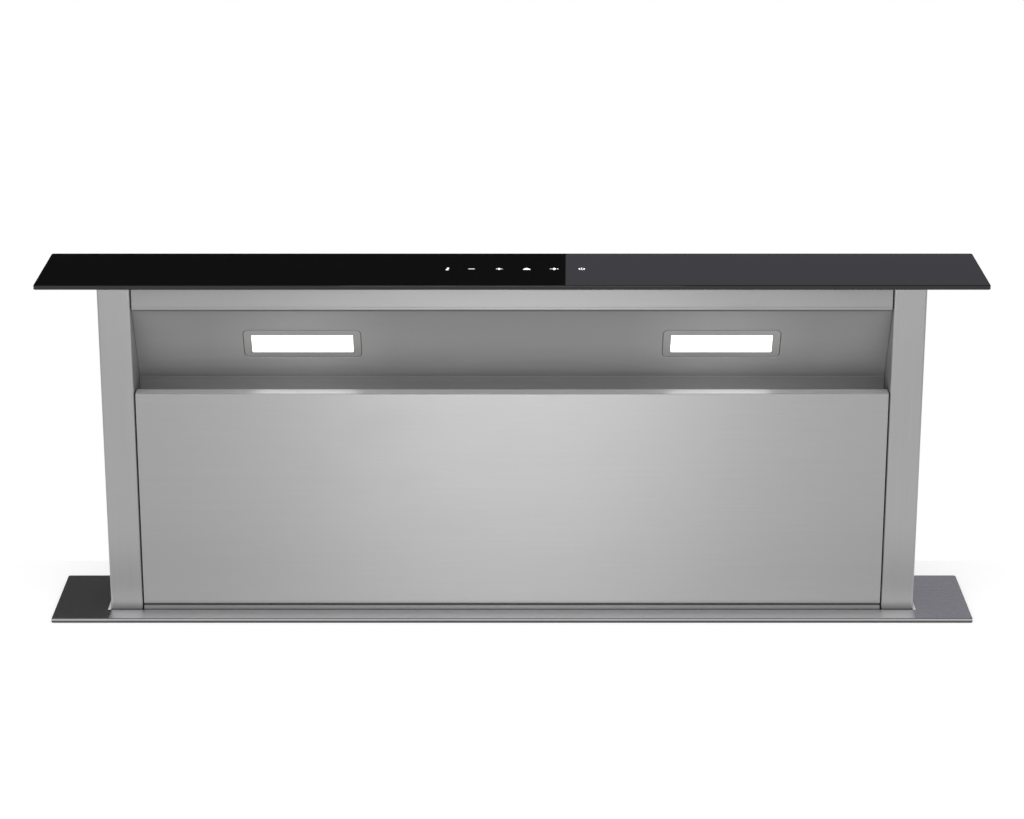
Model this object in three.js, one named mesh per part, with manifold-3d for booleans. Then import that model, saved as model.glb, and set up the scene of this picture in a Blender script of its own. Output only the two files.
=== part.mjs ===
// Downdraft vent for a kitchen worktop, 90 cm class, shown with its column raised.
// A steel column with a glass top rises through a deck plate that lies on the worktop. Below the
// worktop a slim housing holds the lift (rollers in side rails, two toothed belts on one shaft) and
// carries the centrifugal blower with its round outlet and its two-leaf backflow damper.
//
// Millimetres. +X right, +Y to the back, +Z up. The origin is the middle of the worktop cut-out,
// on the worktop's surface, which is the underside of the deck plate.

import * as THREE from 'three';
import { mergeVertices } from 'three/addons/utils/BufferGeometryUtils.js';
import Module from 'manifold-3d';

// ---- Driving dimensions ----

const SEAT = 0.3; // gap left between two pieces that touch

// Deck plate: one sheet with its rim folded down round the outside and round the opening
const DECK_LENGTH = 900;
const DECK_DEPTH = 116;
const DECK_HEIGHT = 4.7;
const DECK_SHEET = 1.5;
const DECK_RIM = 2;
const DECK_EDGE_RADIUS = 1.3;
const GASKET_FROM_HOUSING = 2;
const OPENING_SIDE_GAP = 3.6;
const OPENING_FRONT_GAP = 1;

// Glass top, as long and as deep as the deck plate that it covers when the column is down
const GLASS_THICKNESS = 4.5;
const GLASS_BEVEL = 0.5;
const GLASS_UNDERSIDE = 337.5; // height above the worktop with the column raised

// Column
const DECK_BESIDE_COLUMN = 55.7;
const COLUMN_DEPTH = 68.4;
const COLUMN_TAIL = 120; // what stays below the worktop with the column raised
const COLUMN_SHEET = 1;
const COLUMN_BEND = 0.9; // inside radius of the folded edges
const UPRIGHT_FACE = 31.4;
const UPRIGHT_BACK_RETURN = 22.3;
const UPRIGHT_INNER_DEPTH = 58; // front to back, inner wall of an upright
const SEAM = 1.3; // open seam between an upright and what stands beside it

// Front of the column, from the top down
const RAIL_FOOT = 311.8;
const RAIL_RETURN = 4.3;
const RECESS_LIP = 2.3; // from the rail's foot down to where the lamp panel starts to slope
const PANEL_TOP = 227.6;
const PANEL_HEM = 15.5;
const PANEL_HEM_LIP = 8;
const PANEL_FOOT = 10.2;
const PANEL_FOOT_RETURN = 12;
const PANEL_SHEET = 1.2;
const PANEL_STUD_RADIUS = 3;
const PANEL_STUD_INSET = 8; // behind the panel's face
const PANEL_STUD_FROM_END = 30;
const FOOT_SEAM = 1; // open seam under the front panel

// Lamp panel: slopes back as it goes down, then drops behind the front panel
const LAMP_PANEL_SETBACK = 4.8;
const SLOPE_RUN = 40.8;
const SLOPE_FOOT = 231;
const LAMP_PANEL_FOOT = 209;
const LAMP_FROM_UPRIGHT = 161.1; // the lamp's middle, from the upright's inner edge
const LAMP_DOWN_SLOPE = 44.7;
const BEZEL_WIDTH = 112.6;
const BEZEL_HEIGHT = 35.5;
const BEZEL_RADIUS = 5;
const BEZEL_SEAM = 0.6;
const BEZEL_THICKNESS = 2.4;
const LENS_WIDTH = 97.7;
const LENS_HEIGHT = 22.5;
const LENS_THICKNESS = 1.8;
const LAMP_BODY_DEPTH = 13;
const LAMP_BODY_WALL = 1.4;

// Glass carrier and touch board
const CARRIER_SHEET = 1.2;
const CARRIER_LIP = 10;
const BOARD_LENGTH = 190;
const BOARD_DEPTH = 46;
const BOARD_THICKNESS = 1.6;
const BOARD_MARGIN = 2;
const BOARD_CHIP = [28, 14, 2]; // length, depth, height
const BOARD_PLUG = [20, 8, 7];
const TOUCH_KEYS = 6;
const TOUCH_KEY_PITCH = 26;
const TOUCH_KEY_RADIUS = 5;

// Grease filters, leaning back behind the front panel
const FILTERS = 2;
const FILTER_THICKNESS = 9;
const FILTER_RIM = 9;
const FILTER_LEAN = 8.5; // degrees from upright
const FILTER_STOP = 6;
const FILTER_PLEATS = 30;
const FILTER_PACK_SHEET = 0.8;
const FILTER_PACK_DEPTH = 6.6;
const GRIP_LENGTH = 44;
const GRIP_REACH = 5;
const GRIP_SHEET = 1.2;
const GRIP_FROM_TOP = 5;
const FILTER_FRONT_FOOT = -18.6; // y of the filters' lower front edge

// Housing below the worktop
const HOUSING_SHEET = 1;
const DECK_BEYOND_HOUSING = 10; // how far the deck plate reaches past the housing, front and back
const HOUSING_HEIGHT = 652;
const HOUSING_TOP_GAP = 3;
const SIDE_ROOM = 17.7; // column side to housing wall
const HOUSING_RETURN = 14;
const BASE_LIP = 14;
const COVER_SHEET = 1.2;
const COVER_LIP = 10;
const COVER_SPLIT = -400; // height where the access cover meets the blower plate
const COVER_JOINT = 2;
const HOUSING_BEADS = 4; // stiffening beads pressed into the sheet
const COVER_BEADS = 2;
const BEAD_FROM_END = 95;
const COVER_BEAD_FROM_END = 36;
const BEAD_FROM_SIDE = 40;
const BEAD_WIDTH = 14;
const BEAD_TOP = 7;
const BEAD_HEIGHT = 2;
const FRAME_SHEET = 2;
const FRAME_SKIRT = 20;
const FRAME_SKIRT_SHEET = 1.5;

// Lift: guide rails and rollers
const GUIDE_SHEET = 1.2;
const GUIDE_DEPTH = 12.4;
const GUIDE_Y = -14;
const GUIDE_TOP = -26;
const GUIDE_FOOT_GAP = 18;
const ROLLER_RADIUS = 8.5;
const ROLLER_WIDTH = 8;
const ROLLER_FROM_FOOT = 16; // lower roller above the column's foot
const ROLLER_SPACING = 62;
const STUD_RADIUS = 3;
const CARRIAGE_SHEET = 2;
const CARRIAGE_HEIGHT = 90;
const CARRIAGE_DEPTH = 58;
const JAW_DEPTH = 8; // clamp that holds the belt
const JAW_HEIGHT = 18;

// Lift: belts, pulleys, shaft
const PULLEY_RADIUS = 9.5;
const PULLEY_TEETH = 18;
const PULLEY_TOOTH_DEPTH = 1.2;
const PULLEY_FLANGE = 3;
const PULLEY_FLANGE_WIDTH = 1;
const BELT_WIDTH = 7;
const BELT_THICKNESS = 1.4;
const BELT_Y = 16;
const IDLER_Z = -42;
const SHAFT_ABOVE_FLOOR = 42;
const SHAFT_RADIUS = 5;
const BEARING_WIDTH = 16;
const BEARING_INSET = 36; // bearing's outer face from the housing wall
const BEARING_RADIUS = 12;
const BEARING_FOOT = 40;
const BEARING_FOOT_HEIGHT = 6;
const BEARING_SHOULDER = 4;
const GEARboxX = 226;
const GEARBOX_WIDTH = 36;
const GEARBOX_HALF_HEIGHT = 26;
const GEARBOX_BEHIND_SHAFT = 15;
const GEARBOX_LEG_INSET = 4;
const GEARBOX_FLANGE = 12; // beside the body
const GEARBOX_FLANGE_SHEET = 3;
const GEARBOX_HUB_RADIUS = 11;
const GEARBOX_HUB_LENGTH = 6;
const GEARBOX_RIBS = 4;
const LIFT_MOTOR_RADIUS = 20;
const LIFT_MOTOR_LENGTH = 92;
const LIFT_MOTOR_Y = -15;
const MOTOR_FLANGE = 4; // length of the lift motor's mounting ring
const MOTOR_CAP = 12; // length of its end cap
const MOTOR_STEP = 1.5; // how much its diameter drops at each step

// Blower
const BLOWER_X = -60;
const BLOWER_Z = -516;
const SCROLL_DEPTH = 96;
const SCROLL_WALL = 1.8;
const SCROLL_START_RADIUS = 84;
const SCROLL_GROWTH = 46; // over the whole spiral
const SCROLL_OUTLET_REACH = 150; // outlet plane from the fan axis
const SCROLL_FLANGE = 9;
const SCROLL_RIBS = 10;
const SCROLL_RIB = 3; // thickness and height
const SCROLL_RIB_REACH = 24;
const TONGUE_ANGLE = -32; // degrees below the horizontal, on the outlet side
const INLET_RADIUS = 62;
const INLET_LIP = 9;
const INLET_FLARE = 5;
const IMPELLER_RADIUS = 74;
const IMPELLER_DEPTH = 66;
const IMPELLER_BLADES = 30;
const BLADE_DEPTH = 15; // radial
const BLADE_THICKNESS = 1.2;
const BLADE_SWEEP = 0.16; // how far a blade's tip runs ahead of its heel, radians
const DISC_SHEET = 2;
const HUB_RADIUS = 12;
const HUB_LENGTH = 22;
const IMPELLER_BEHIND_INLET = 6;
const FAN_MOTOR_RADIUS = 44;
const FAN_MOTOR_LENGTH = 46;
const FAN_MOTOR_FLANGE = 8;
const FAN_MOTOR_SLOTS = 12;
const FAN_MOTOR_SLOT = 4; // width and depth
const FAN_SHAFT_RADIUS = 4;

// Outlet and damper
const DUCT_RADIUS = 75;
const DUCT_WALL = 1.5;
const SPIGOT_LENGTH = 56;
const DUCT_COVER_GAP = 6;
const DUCT_FLOOR_GAP = 5;
const DAMPER_FROM_MOUTH = 14;
const TRANSITION_LENGTH = 62;
const DAMPER_PIN_RADIUS = 2;
const DAMPER_STOP = 2;
const FLAP_THICKNESS = 1.2;
const FLAP_CLEARANCE = 1.2;
// Where each leaf's knuckles start and end, as shares of its radius
const FRONT_KNUCKLES = [-0.9, -0.5, 0.5, 0.9];
const REAR_KNUCKLES = [-0.46, -0.08, 0.08, 0.46];

// Control box
const BOX_LENGTH = 170;
const BOX_HEIGHT = 116;
const BOX_DEPTH = 42;
const BOX_WALL = 2;
const BOX_EAR = 12;
const BOX_VENTS = 9;
const BOX_VENT_WIDTH = 3;
const BOX_VENT_LENGTH = 34;
const BOX_VENT_PITCH = 8;
const BOX_FROM_WALL = 97; // from its end to the housing's side wall
const BOX_Z = -150;
const GLAND_RADIUS = 9;
const GLAND_STEM = 5.6; // hole in the box that it goes through
const GLAND_BODY = 5;
const GLAND_NUT = 13;

// Brackets
const BRACKET_SHEET = 2;
const CLAMP_WIDTH = 26;
const CLAMP_REACH = 28;
const CLAMP_Z = -56;
const CLAMP_LEG = 42;
const CLAMP_PAD_RADIUS = 8;
const CLAMP_HEAD_RADIUS = 5;
const WORKTOP_THICKNESS = 30;
const FOOT_REACH = 26;
const FOOT_LEG = 55;
const FOOT_WIDTH = 50;

// ---- Places that follow from the dimensions ----

const columnSide = DECK_LENGTH / 2 - DECK_BESIDE_COLUMN;
const columnFront = -COLUMN_DEPTH / 2;
const columnBack = COLUMN_DEPTH / 2;
const uprightInside = columnSide - UPRIGHT_FACE;
const panelHalf = uprightInside - SEAM;
const lampAt = uprightInside - LAMP_FROM_UPRIGHT;
const lampPanelFront = columnFront + LAMP_PANEL_SETBACK;
const openingHalfX = columnSide + OPENING_SIDE_GAP;
const openingHalfY = columnBack + OPENING_FRONT_GAP;
const columnCeiling = GLASS_UNDERSIDE - SEAT;

const wallInside = columnSide + SIDE_ROOM;
const wallOutside = wallInside + HOUSING_SHEET;
const housingBack = DECK_DEPTH / 2 - DECK_BEYOND_HOUSING;
const housingFront = -housingBack;
const housingTop = -HOUSING_TOP_GAP;
const housingFoot = housingTop - HOUSING_HEIGHT;
const baseFloor = housingFoot + HOUSING_SHEET;
const coverBack = housingFront - SEAT;
const coverFront = coverBack - COVER_SHEET;

const boxX = wallInside - BOX_FROM_WALL - BOX_LENGTH / 2;

const slopeTop = new THREE.Vector2(lampPanelFront, RAIL_FOOT - RECESS_LIP);
const slopeFoot = new THREE.Vector2(lampPanelFront + SLOPE_RUN, SLOPE_FOOT);

const pulleyWidth = BELT_WIDTH + 2 * (SEAT + PULLEY_FLANGE_WIDTH);
const beltInside = PULLEY_RADIUS + SEAT;
const beltOutside = beltInside + BELT_THICKNESS;
const guideWebInside = wallInside - SEAT - GUIDE_SHEET;
const carriageOutside = columnSide + SEAT + CARRIAGE_SHEET;
const idlerPlateInside = wallInside - SEAT - BRACKET_SHEET;
const pulleyOuter = idlerPlateInside - SEAT;
const pulleyMiddle = pulleyOuter - pulleyWidth / 2;
const shaftZ = baseFloor + SHAFT_ABOVE_FLOOR;
const rollerHeights = [0, 1].map((n) => -COLUMN_TAIL + ROLLER_FROM_FOOT + n * ROLLER_SPACING);

// ---- Materials ----

const metal = (color, roughness) => new THREE.MeshStandardMaterial({ color, roughness, metalness: 1 });
const plain = (color, roughness) => new THREE.MeshStandardMaterial({ color, roughness, metalness: 0 });
const MATERIALS = {
  brushedSteel: metal(0xb4b4b4, 0.34),
  polishedSteel: metal(0x8f8f93, 0.16),
  galvanised: metal(0x9aa0a3, 0.5),
  zincPlated: metal(0xb0b3b6, 0.4),
  aluminium: metal(0xc4c6c8, 0.42),
  blackGlass: plain(0x0d0d0e, 0.05),
  lens: plain(0xffffff, 0.3),
  bezel: plain(0x9c9b98, 0.45),
  blackPlastic: plain(0x1b1c1e, 0.5),
  greyPlastic: plain(0x6f7376, 0.55),
  nylon: plain(0xe6e4dc, 0.5),
  rubber: plain(0x161616, 0.85),
  circuitBoard: plain(0x1f5a37, 0.6),
};

// ---- Solid tools ----

const wasm = await Module();
wasm.setup();

/** A closed geometry as a solid for joining and cutting, its faces pointing out. */
function toSolid(geometry) {
  const bare = new THREE.BufferGeometry();
  bare.setAttribute('position', geometry.getAttribute('position').clone());
  if (geometry.index) bare.setIndex(geometry.index.clone());
  const merged = mergeVertices(bare, 1e-4);
  const mesh = { numProp: 3, vertProperties: merged.attributes.position.array };
  const corners = new Uint32Array(merged.index.array);
  const made = new wasm.Manifold(new wasm.Mesh({ ...mesh, triVerts: corners }));
  if (made.volume() > 0) return made;
  for (let i = 0; i < corners.length; i += 3) {
    [corners[i + 1], corners[i + 2]] = [corners[i + 2], corners[i + 1]];
  }
  return new wasm.Manifold(new wasm.Mesh({ ...mesh, triVerts: corners }));
}

function toGeometry(solid) {
  const mesh = solid.getMesh();
  const geometry = new THREE.BufferGeometry();
  const position = new Float32Array(mesh.numVert * 3);
  for (let i = 0; i < mesh.numVert; i++) {
    position.set(mesh.vertProperties.subarray(i * mesh.numProp, i * mesh.numProp + 3), i * 3);
  }
  geometry.setAttribute('position', new THREE.BufferAttribute(position, 3));
  geometry.setIndex(new THREE.BufferAttribute(new Uint32Array(mesh.triVerts), 1));
  return geometry;
}

const join = (...pieces) => toGeometry(pieces.map(toSolid).reduce((a, b) => a.add(b)));
const cut = (base, ...tools) => toGeometry(tools.map(toSolid).reduce((a, b) => a.subtract(b), toSolid(base)));

// ---- Outlines ----

const points = (pairs) => pairs.map(([u, v]) => new THREE.Vector2(u, v));

/** Points round a corner of radius r between the lines from `before` and to `after`. */
function roundedCorner(before, corner, after, radius, steps) {
  const into = before.clone().sub(corner).normalize();
  const out = after.clone().sub(corner).normalize();
  const half = Math.acos(THREE.MathUtils.clamp(into.dot(out), -1, 1)) / 2;
  if (radius < 1e-6 || Math.PI / 2 - half < 1e-6) return [corner.clone()];
  const reach = radius / Math.tan(half);
  const centre = into.clone().add(out).normalize().multiplyScalar(radius / Math.sin(half)).add(corner);
  const first = into.multiplyScalar(reach).add(corner).sub(centre);
  const last = out.multiplyScalar(reach).add(corner).sub(centre);
  const turn = Math.atan2(first.cross(last), first.dot(last));
  return Array.from({ length: steps + 1 }, (_, i) =>
    first.clone().rotateAround(new THREE.Vector2(), (turn * i) / steps).add(centre),
  );
}

/** The closed outline of a bent sheet. `path` is one face of it; the sheet lies on the left of the path. */
function folded(path, thickness, bend = COLUMN_BEND, steps = 3) {
  const face = points(path);
  const left = (a, b) => new THREE.Vector2(a.y - b.y, b.x - a.x).normalize();
  const inner = face.map((p, i) => {
    const a = i > 0 ? left(face[i - 1], p) : left(p, face[i + 1]);
    const b = i < face.length - 1 ? left(p, face[i + 1]) : a;
    const mitre = a.clone().add(b).normalize();
    return mitre.multiplyScalar(thickness / mitre.dot(a)).add(p);
  });
  const side = (line, leftTurnRadius, rightTurnRadius) =>
    line.flatMap((p, i) => {
      if (i === 0 || i === line.length - 1) return [p];
      const turn = p.clone().sub(line[i - 1]).cross(line[i + 1].clone().sub(p));
      return roundedCorner(line[i - 1], p, line[i + 1], turn > 0 ? leftTurnRadius : rightTurnRadius, steps);
    });
  return [...side(face, bend + thickness, bend), ...side(inner, bend, bend + thickness).reverse()];
}

function rectangle(u0, u1, v0, v1, radius = 0, steps = 3) {
  const corners = points([[u0, v0], [u1, v0], [u1, v1], [u0, v1]]);
  return corners.flatMap((p, i) =>
    roundedCorner(corners[(i + 3) % 4], p, corners[(i + 1) % 4], radius, steps));
}

function circle(u, v, radius, steps = 24) {
  return Array.from({ length: steps }, (_, i) => {
    const angle = (2 * Math.PI * i) / steps;
    return new THREE.Vector2(u + radius * Math.cos(angle), v + radius * Math.sin(angle));
  });
}

// ---- Extrusions, revolves and lofts ----

const basis = (u, v, along) =>
  new THREE.Matrix4().makeBasis(...[u, v, along].map((axis) => new THREE.Vector3(...axis)));

// From an outline's (u, v) and the axis it is drawn along to the part's axes
const AXES = {
  x: basis([0, 1, 0], [0, 0, 1], [1, 0, 0]),
  y: basis([1, 0, 0], [0, 0, 1], [0, -1, 0]),
  z: basis([1, 0, 0], [0, 1, 0], [0, 0, 1]),
};

/** Draws an outline along an axis. Outlines are (y, z) along x, (x, z) along y and (x, y) along z. */
function prism(axis, outline, from, to, holes = []) {
  const shape = new THREE.Shape(outline);
  shape.holes = holes.map((hole) => new THREE.Path(hole));
  const geometry = new THREE.ExtrudeGeometry(shape, { depth: to - from, bevelEnabled: false, steps: 1 });
  geometry.applyMatrix4(AXES[axis]);
  const start = axis === 'y' ? to : from;
  return geometry.translate(axis === 'x' ? start : 0, axis === 'y' ? start : 0, axis === 'z' ? start : 0);
}

/** Turns a profile of [radius, distance along the axis] about an axis through `at`. */
function revolve(axis, profile, at = [0, 0, 0], segments = 24) {
  const geometry = new THREE.LatheGeometry(points(profile), segments);
  if (axis === 'x') geometry.rotateZ(-Math.PI / 2);
  if (axis === 'z') geometry.rotateX(Math.PI / 2);
  return geometry.translate(...at);
}

/** A round bar along an axis, between two distances. */
const rod = (axis, radius, from, to, at, segments) =>
  revolve(axis, [[0, from], [radius, from], [radius, to], [0, to]], at, segments);

/** A closed skin through rings of equal point counts, capped at both ends. */
function loft(rings) {
  const count = rings[0].length;
  const position = rings.flat().flatMap((p) => [p.x, p.y, p.z]);
  const index = [];
  for (let r = 0; r < rings.length - 1; r++) {
    for (let i = 0; i < count; i++) {
      const a = r * count + i;
      const b = r * count + ((i + 1) % count);
      index.push(a, b, b + count, a, b + count, a + count);
    }
  }
  const last = (rings.length - 1) * count;
  for (let i = 1; i < count - 1; i++) {
    index.push(0, i + 1, i, last, last + i, last + i + 1);
  }
  const geometry = new THREE.BufferGeometry();
  geometry.setAttribute('position', new THREE.Float32BufferAttribute(position, 3));
  geometry.setIndex(index);
  return geometry;
}

/** A flat slab with rounded or bevelled long edges: quarter rounds in `steps` at top and bottom. */
function slab(length, depth, z0, z1, corner, topRadius, footRadius, steps) {
  const ring = (inset, z) =>
    rectangle(-length / 2 + inset, length / 2 - inset, -depth / 2 + inset, depth / 2 - inset, corner, 3)
      .map((p) => new THREE.Vector3(p.x, p.y, z));
  const quarter = (radius, edge, inwards) =>
    Array.from({ length: steps + 1 }, (_, i) => {
      const angle = (i / steps) * (Math.PI / 2);
      return ring(radius * (1 - Math.cos(angle)), edge + inwards * radius * (1 - Math.sin(angle)));
    });
  return loft([...quarter(footRadius, z0, 1).reverse(), ...quarter(topRadius, z1, -1)]);
}

const mirrorX = (geometry) => toGeometry(toSolid(geometry).mirror([1, 0, 0]));

const part = new THREE.Group();
part.name = 'downdraft_vent';

function add(name, geometry, material) {
  const mesh = new THREE.Mesh(geometry, MATERIALS[material]);
  mesh.name = name;
  part.add(mesh);
}

/** Adds a piece drawn for the right side, and its mirror image for the left. */
function addPair(name, geometry, material) {
  add(`${name}_right`, geometry, material);
  add(`${name}_left`, mirrorX(geometry), material);
}

// ---- Deck ----

function deckPlate() {
  const body = slab(DECK_LENGTH, DECK_DEPTH, 0, DECK_HEIGHT, 2, DECK_EDGE_RADIUS, 0.5, 3);
  const opening = prism('z', rectangle(-openingHalfX, openingHalfX, -openingHalfY, openingHalfY, 1),
    -1, DECK_HEIGHT + 1);
  const rimX = DECK_LENGTH / 2 - DECK_RIM;
  const rimY = DECK_DEPTH / 2 - DECK_RIM;
  const lipX = openingHalfX + DECK_RIM;
  const lipY = openingHalfY + DECK_RIM;
  const hollow = prism('z', rectangle(-rimX, rimX, -rimY, rimY, 1), -1, DECK_HEIGHT - DECK_SHEET,
    [rectangle(-lipX, lipX, -lipY, lipY, 1)]);
  return cut(body, opening, hollow);
}

/** Sealing strip between the deck plate and the worktop, outside the housing's cut-out. */
function deckGasket() {
  const outX = DECK_LENGTH / 2 - DECK_RIM - SEAT;
  const outY = DECK_DEPTH / 2 - DECK_RIM - SEAT;
  const inX = wallOutside + GASKET_FROM_HOUSING;
  const inY = housingBack + GASKET_FROM_HOUSING;
  return prism('z', rectangle(-outX, outX, -outY, outY, 1), 0, DECK_HEIGHT - DECK_SHEET - SEAT,
    [rectangle(-inX, inX, -inY, inY, 1)]);
}

/** Frame screwed under the deck plate, with a skirt inside the housing's walls. */
function deckFrame() {
  const outX = wallInside - SEAT;
  const outY = housingBack - HOUSING_SHEET - SEAT;
  const top = -SEAT;
  const plate = prism('z', rectangle(-outX, outX, -outY, outY, 2), top - FRAME_SHEET, top,
    [rectangle(-openingHalfX, openingHalfX, -openingHalfY, openingHalfY, 1)]);
  const skirt = prism('z', rectangle(-outX, outX, -outY, outY, 2), top - FRAME_SHEET - FRAME_SKIRT, top - 1,
    [rectangle(-outX + FRAME_SKIRT_SHEET, outX - FRAME_SKIRT_SHEET,
      -outY + FRAME_SKIRT_SHEET, outY - FRAME_SKIRT_SHEET, 1)]);
  return join(plate, skirt);
}

// ---- Column ----

function upright() {
  const path = [
    [columnSide - UPRIGHT_BACK_RETURN, columnBack],
    [columnSide, columnBack],
    [columnSide, columnFront],
    [uprightInside, columnFront],
    [uprightInside, columnFront + UPRIGHT_INNER_DEPTH],
  ];
  return prism('z', folded(path.reverse(), COLUMN_SHEET), -COLUMN_TAIL, columnCeiling);
}

function topRail() {
  const back = columnFront + RAIL_RETURN;
  const path = [
    [back, columnCeiling],
    [columnFront, columnCeiling],
    [columnFront, RAIL_FOOT],
    [back, RAIL_FOOT],
  ];
  return prism('x', folded(path, COLUMN_SHEET), -panelHalf, panelHalf);
}

/** From the lamp panel's own plane (x right, y up the slope, z out of it) to the part, at a lamp's centre. */
function lampMatrix(x) {
  const down = slopeFoot.clone().sub(slopeTop).normalize();
  const centre = down.clone().multiplyScalar(LAMP_DOWN_SLOPE).add(slopeTop);
  const up = new THREE.Vector3(0, -down.x, -down.y);
  const out = new THREE.Vector3(1, 0, 0).cross(up);
  return new THREE.Matrix4()
    .makeBasis(new THREE.Vector3(1, 0, 0), up, out)
    .setPosition(x, centre.x, centre.y);
}

function lampPanel() {
  const path = [
    [lampPanelFront, columnCeiling - CARRIER_SHEET - SEAT],
    [slopeTop.x, slopeTop.y],
    [slopeFoot.x, slopeFoot.y],
    [slopeFoot.x, LAMP_PANEL_FOOT],
    [columnBack - COLUMN_SHEET - SEAT, LAMP_PANEL_FOOT],
  ];
  const half = uprightInside - SEAT;
  const sheet = prism('x', folded(path, COLUMN_SHEET), -half, half);
  const windowX = BEZEL_WIDTH / 2 + BEZEL_SEAM;
  const windowY = BEZEL_HEIGHT / 2 + BEZEL_SEAM;
  const lampHole = (x) =>
    prism('z', rectangle(-windowX, windowX, -windowY, windowY, BEZEL_RADIUS + BEZEL_SEAM, 5), -6, 6)
      .applyMatrix4(lampMatrix(x));
  return cut(sheet, lampHole(-lampAt), lampHole(lampAt));
}

/** Lamp frame, flush in the sloping panel, with the lamp's body behind it. */
function lampBezel() {
  const plate = prism('z', rectangle(-BEZEL_WIDTH / 2, BEZEL_WIDTH / 2, -BEZEL_HEIGHT / 2, BEZEL_HEIGHT / 2,
    BEZEL_RADIUS, 5), -BEZEL_THICKNESS, 0);
  const bodyX = LENS_WIDTH / 2 + LAMP_BODY_WALL;
  const bodyY = LENS_HEIGHT / 2 + LAMP_BODY_WALL;
  const body = prism('z', rectangle(-bodyX, bodyX, -bodyY, bodyY, 2), -LAMP_BODY_DEPTH, -1);
  const seat = prism('z', rectangle(-LENS_WIDTH / 2, LENS_WIDTH / 2, -LENS_HEIGHT / 2, LENS_HEIGHT / 2, 1),
    -LENS_THICKNESS - SEAT, 1);
  const inset = LAMP_BODY_WALL;
  const inside = prism('z', rectangle(-LENS_WIDTH / 2 + inset, LENS_WIDTH / 2 - inset,
    -LENS_HEIGHT / 2 + inset, LENS_HEIGHT / 2 - inset, 1), -LAMP_BODY_DEPTH + LAMP_BODY_WALL, 1);
  return cut(join(plate, body), seat, inside);
}

function lampLens() {
  const x = LENS_WIDTH / 2 - SEAT;
  const y = LENS_HEIGHT / 2 - SEAT;
  return prism('z', rectangle(-x, x, -y, y, 1), -LENS_THICKNESS, 0);
}

/** Folded tray that closes the front of the column and hangs on studs between the uprights. */
function frontPanel() {
  const hemBack = columnFront + PANEL_HEM;
  const path = [
    [hemBack, PANEL_TOP - PANEL_HEM_LIP],
    [hemBack, PANEL_TOP],
    [columnFront, PANEL_TOP],
    [columnFront, PANEL_FOOT],
    [columnFront + PANEL_FOOT_RETURN, PANEL_FOOT],
  ];
  const face = prism('x', folded(path, PANEL_SHEET), -panelHalf, panelHalf);
  const cheekOutline = rectangle(columnFront + PANEL_SHEET / 2, columnFront + PANEL_FOOT_RETURN,
    PANEL_FOOT + PANEL_SHEET / 2, PANEL_TOP - PANEL_SHEET / 2);
  const cheek = (x) => prism('x', cheekOutline, x, x + PANEL_SHEET);
  const stud = (z) => rod('x', PANEL_STUD_RADIUS, panelHalf - PANEL_SHEET / 2, uprightInside - SEAT,
    [0, columnFront + PANEL_STUD_INSET, z], 12);
  const studs = [PANEL_FOOT + PANEL_STUD_FROM_END, PANEL_TOP - PANEL_STUD_FROM_END].map(stud);
  return join(face, cheek(-panelHalf), cheek(panelHalf - PANEL_SHEET), ...studs, ...studs.map(mirrorX));
}

const railTop = PANEL_FOOT - FOOT_SEAM;
const filterLean = THREE.MathUtils.degToRad(FILTER_LEAN);
const filterStopY =
  FILTER_FRONT_FOOT + FILTER_THICKNESS / Math.cos(filterLean) + FILTER_STOP * Math.tan(filterLean) + SEAT;

/** Lower front of the column: the strip under the panel, the skirt below it and the filters' ledge. */
function bottomRail() {
  const path = [
    [filterStopY, railTop + FILTER_STOP],
    [filterStopY, railTop],
    [columnFront, railTop],
    [columnFront, -COLUMN_TAIL],
    [columnFront + PANEL_FOOT_RETURN, -COLUMN_TAIL],
  ];
  return prism('x', folded(path, COLUMN_SHEET), -panelHalf, panelHalf);
}

function backPanel() {
  const half = columnSide - UPRIGHT_BACK_RETURN - SEAT * 2;
  const path = [
    [half, columnBack - 8],
    [half, columnBack],
    [-half, columnBack],
    [-half, columnBack - 8],
  ];
  return prism('z', folded(path, COLUMN_SHEET), -COLUMN_TAIL, columnCeiling - SEAT);
}

const carrierFront = lampPanelFront + COLUMN_SHEET + SEAT;
const carrierBack = columnBack - COLUMN_SHEET - SEAT;
const boardMiddle = (carrierFront + carrierBack) / 2;

/** Channel across the top of the column that the glass is bonded to. */
function glassCarrier() {
  const path = [
    [carrierBack, columnCeiling - CARRIER_LIP],
    [carrierBack, columnCeiling],
    [carrierFront, columnCeiling],
    [carrierFront, columnCeiling - CARRIER_LIP],
  ];
  const channel = prism('x', folded(path, CARRIER_SHEET), -panelHalf, panelHalf);
  const x = BOARD_LENGTH / 2 - BOARD_MARGIN;
  const y = BOARD_DEPTH / 2 - BOARD_MARGIN;
  const window = prism('z', rectangle(-x, x, boardMiddle - y, boardMiddle + y, 2),
    columnCeiling - 2 * CARRIER_SHEET, columnCeiling + 1);
  return cut(channel, window);
}

function glassTop() {
  return slab(DECK_LENGTH, DECK_DEPTH, GLASS_UNDERSIDE, GLASS_UNDERSIDE + GLASS_THICKNESS,
    1.5, GLASS_BEVEL, GLASS_BEVEL, 1);
}

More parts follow.
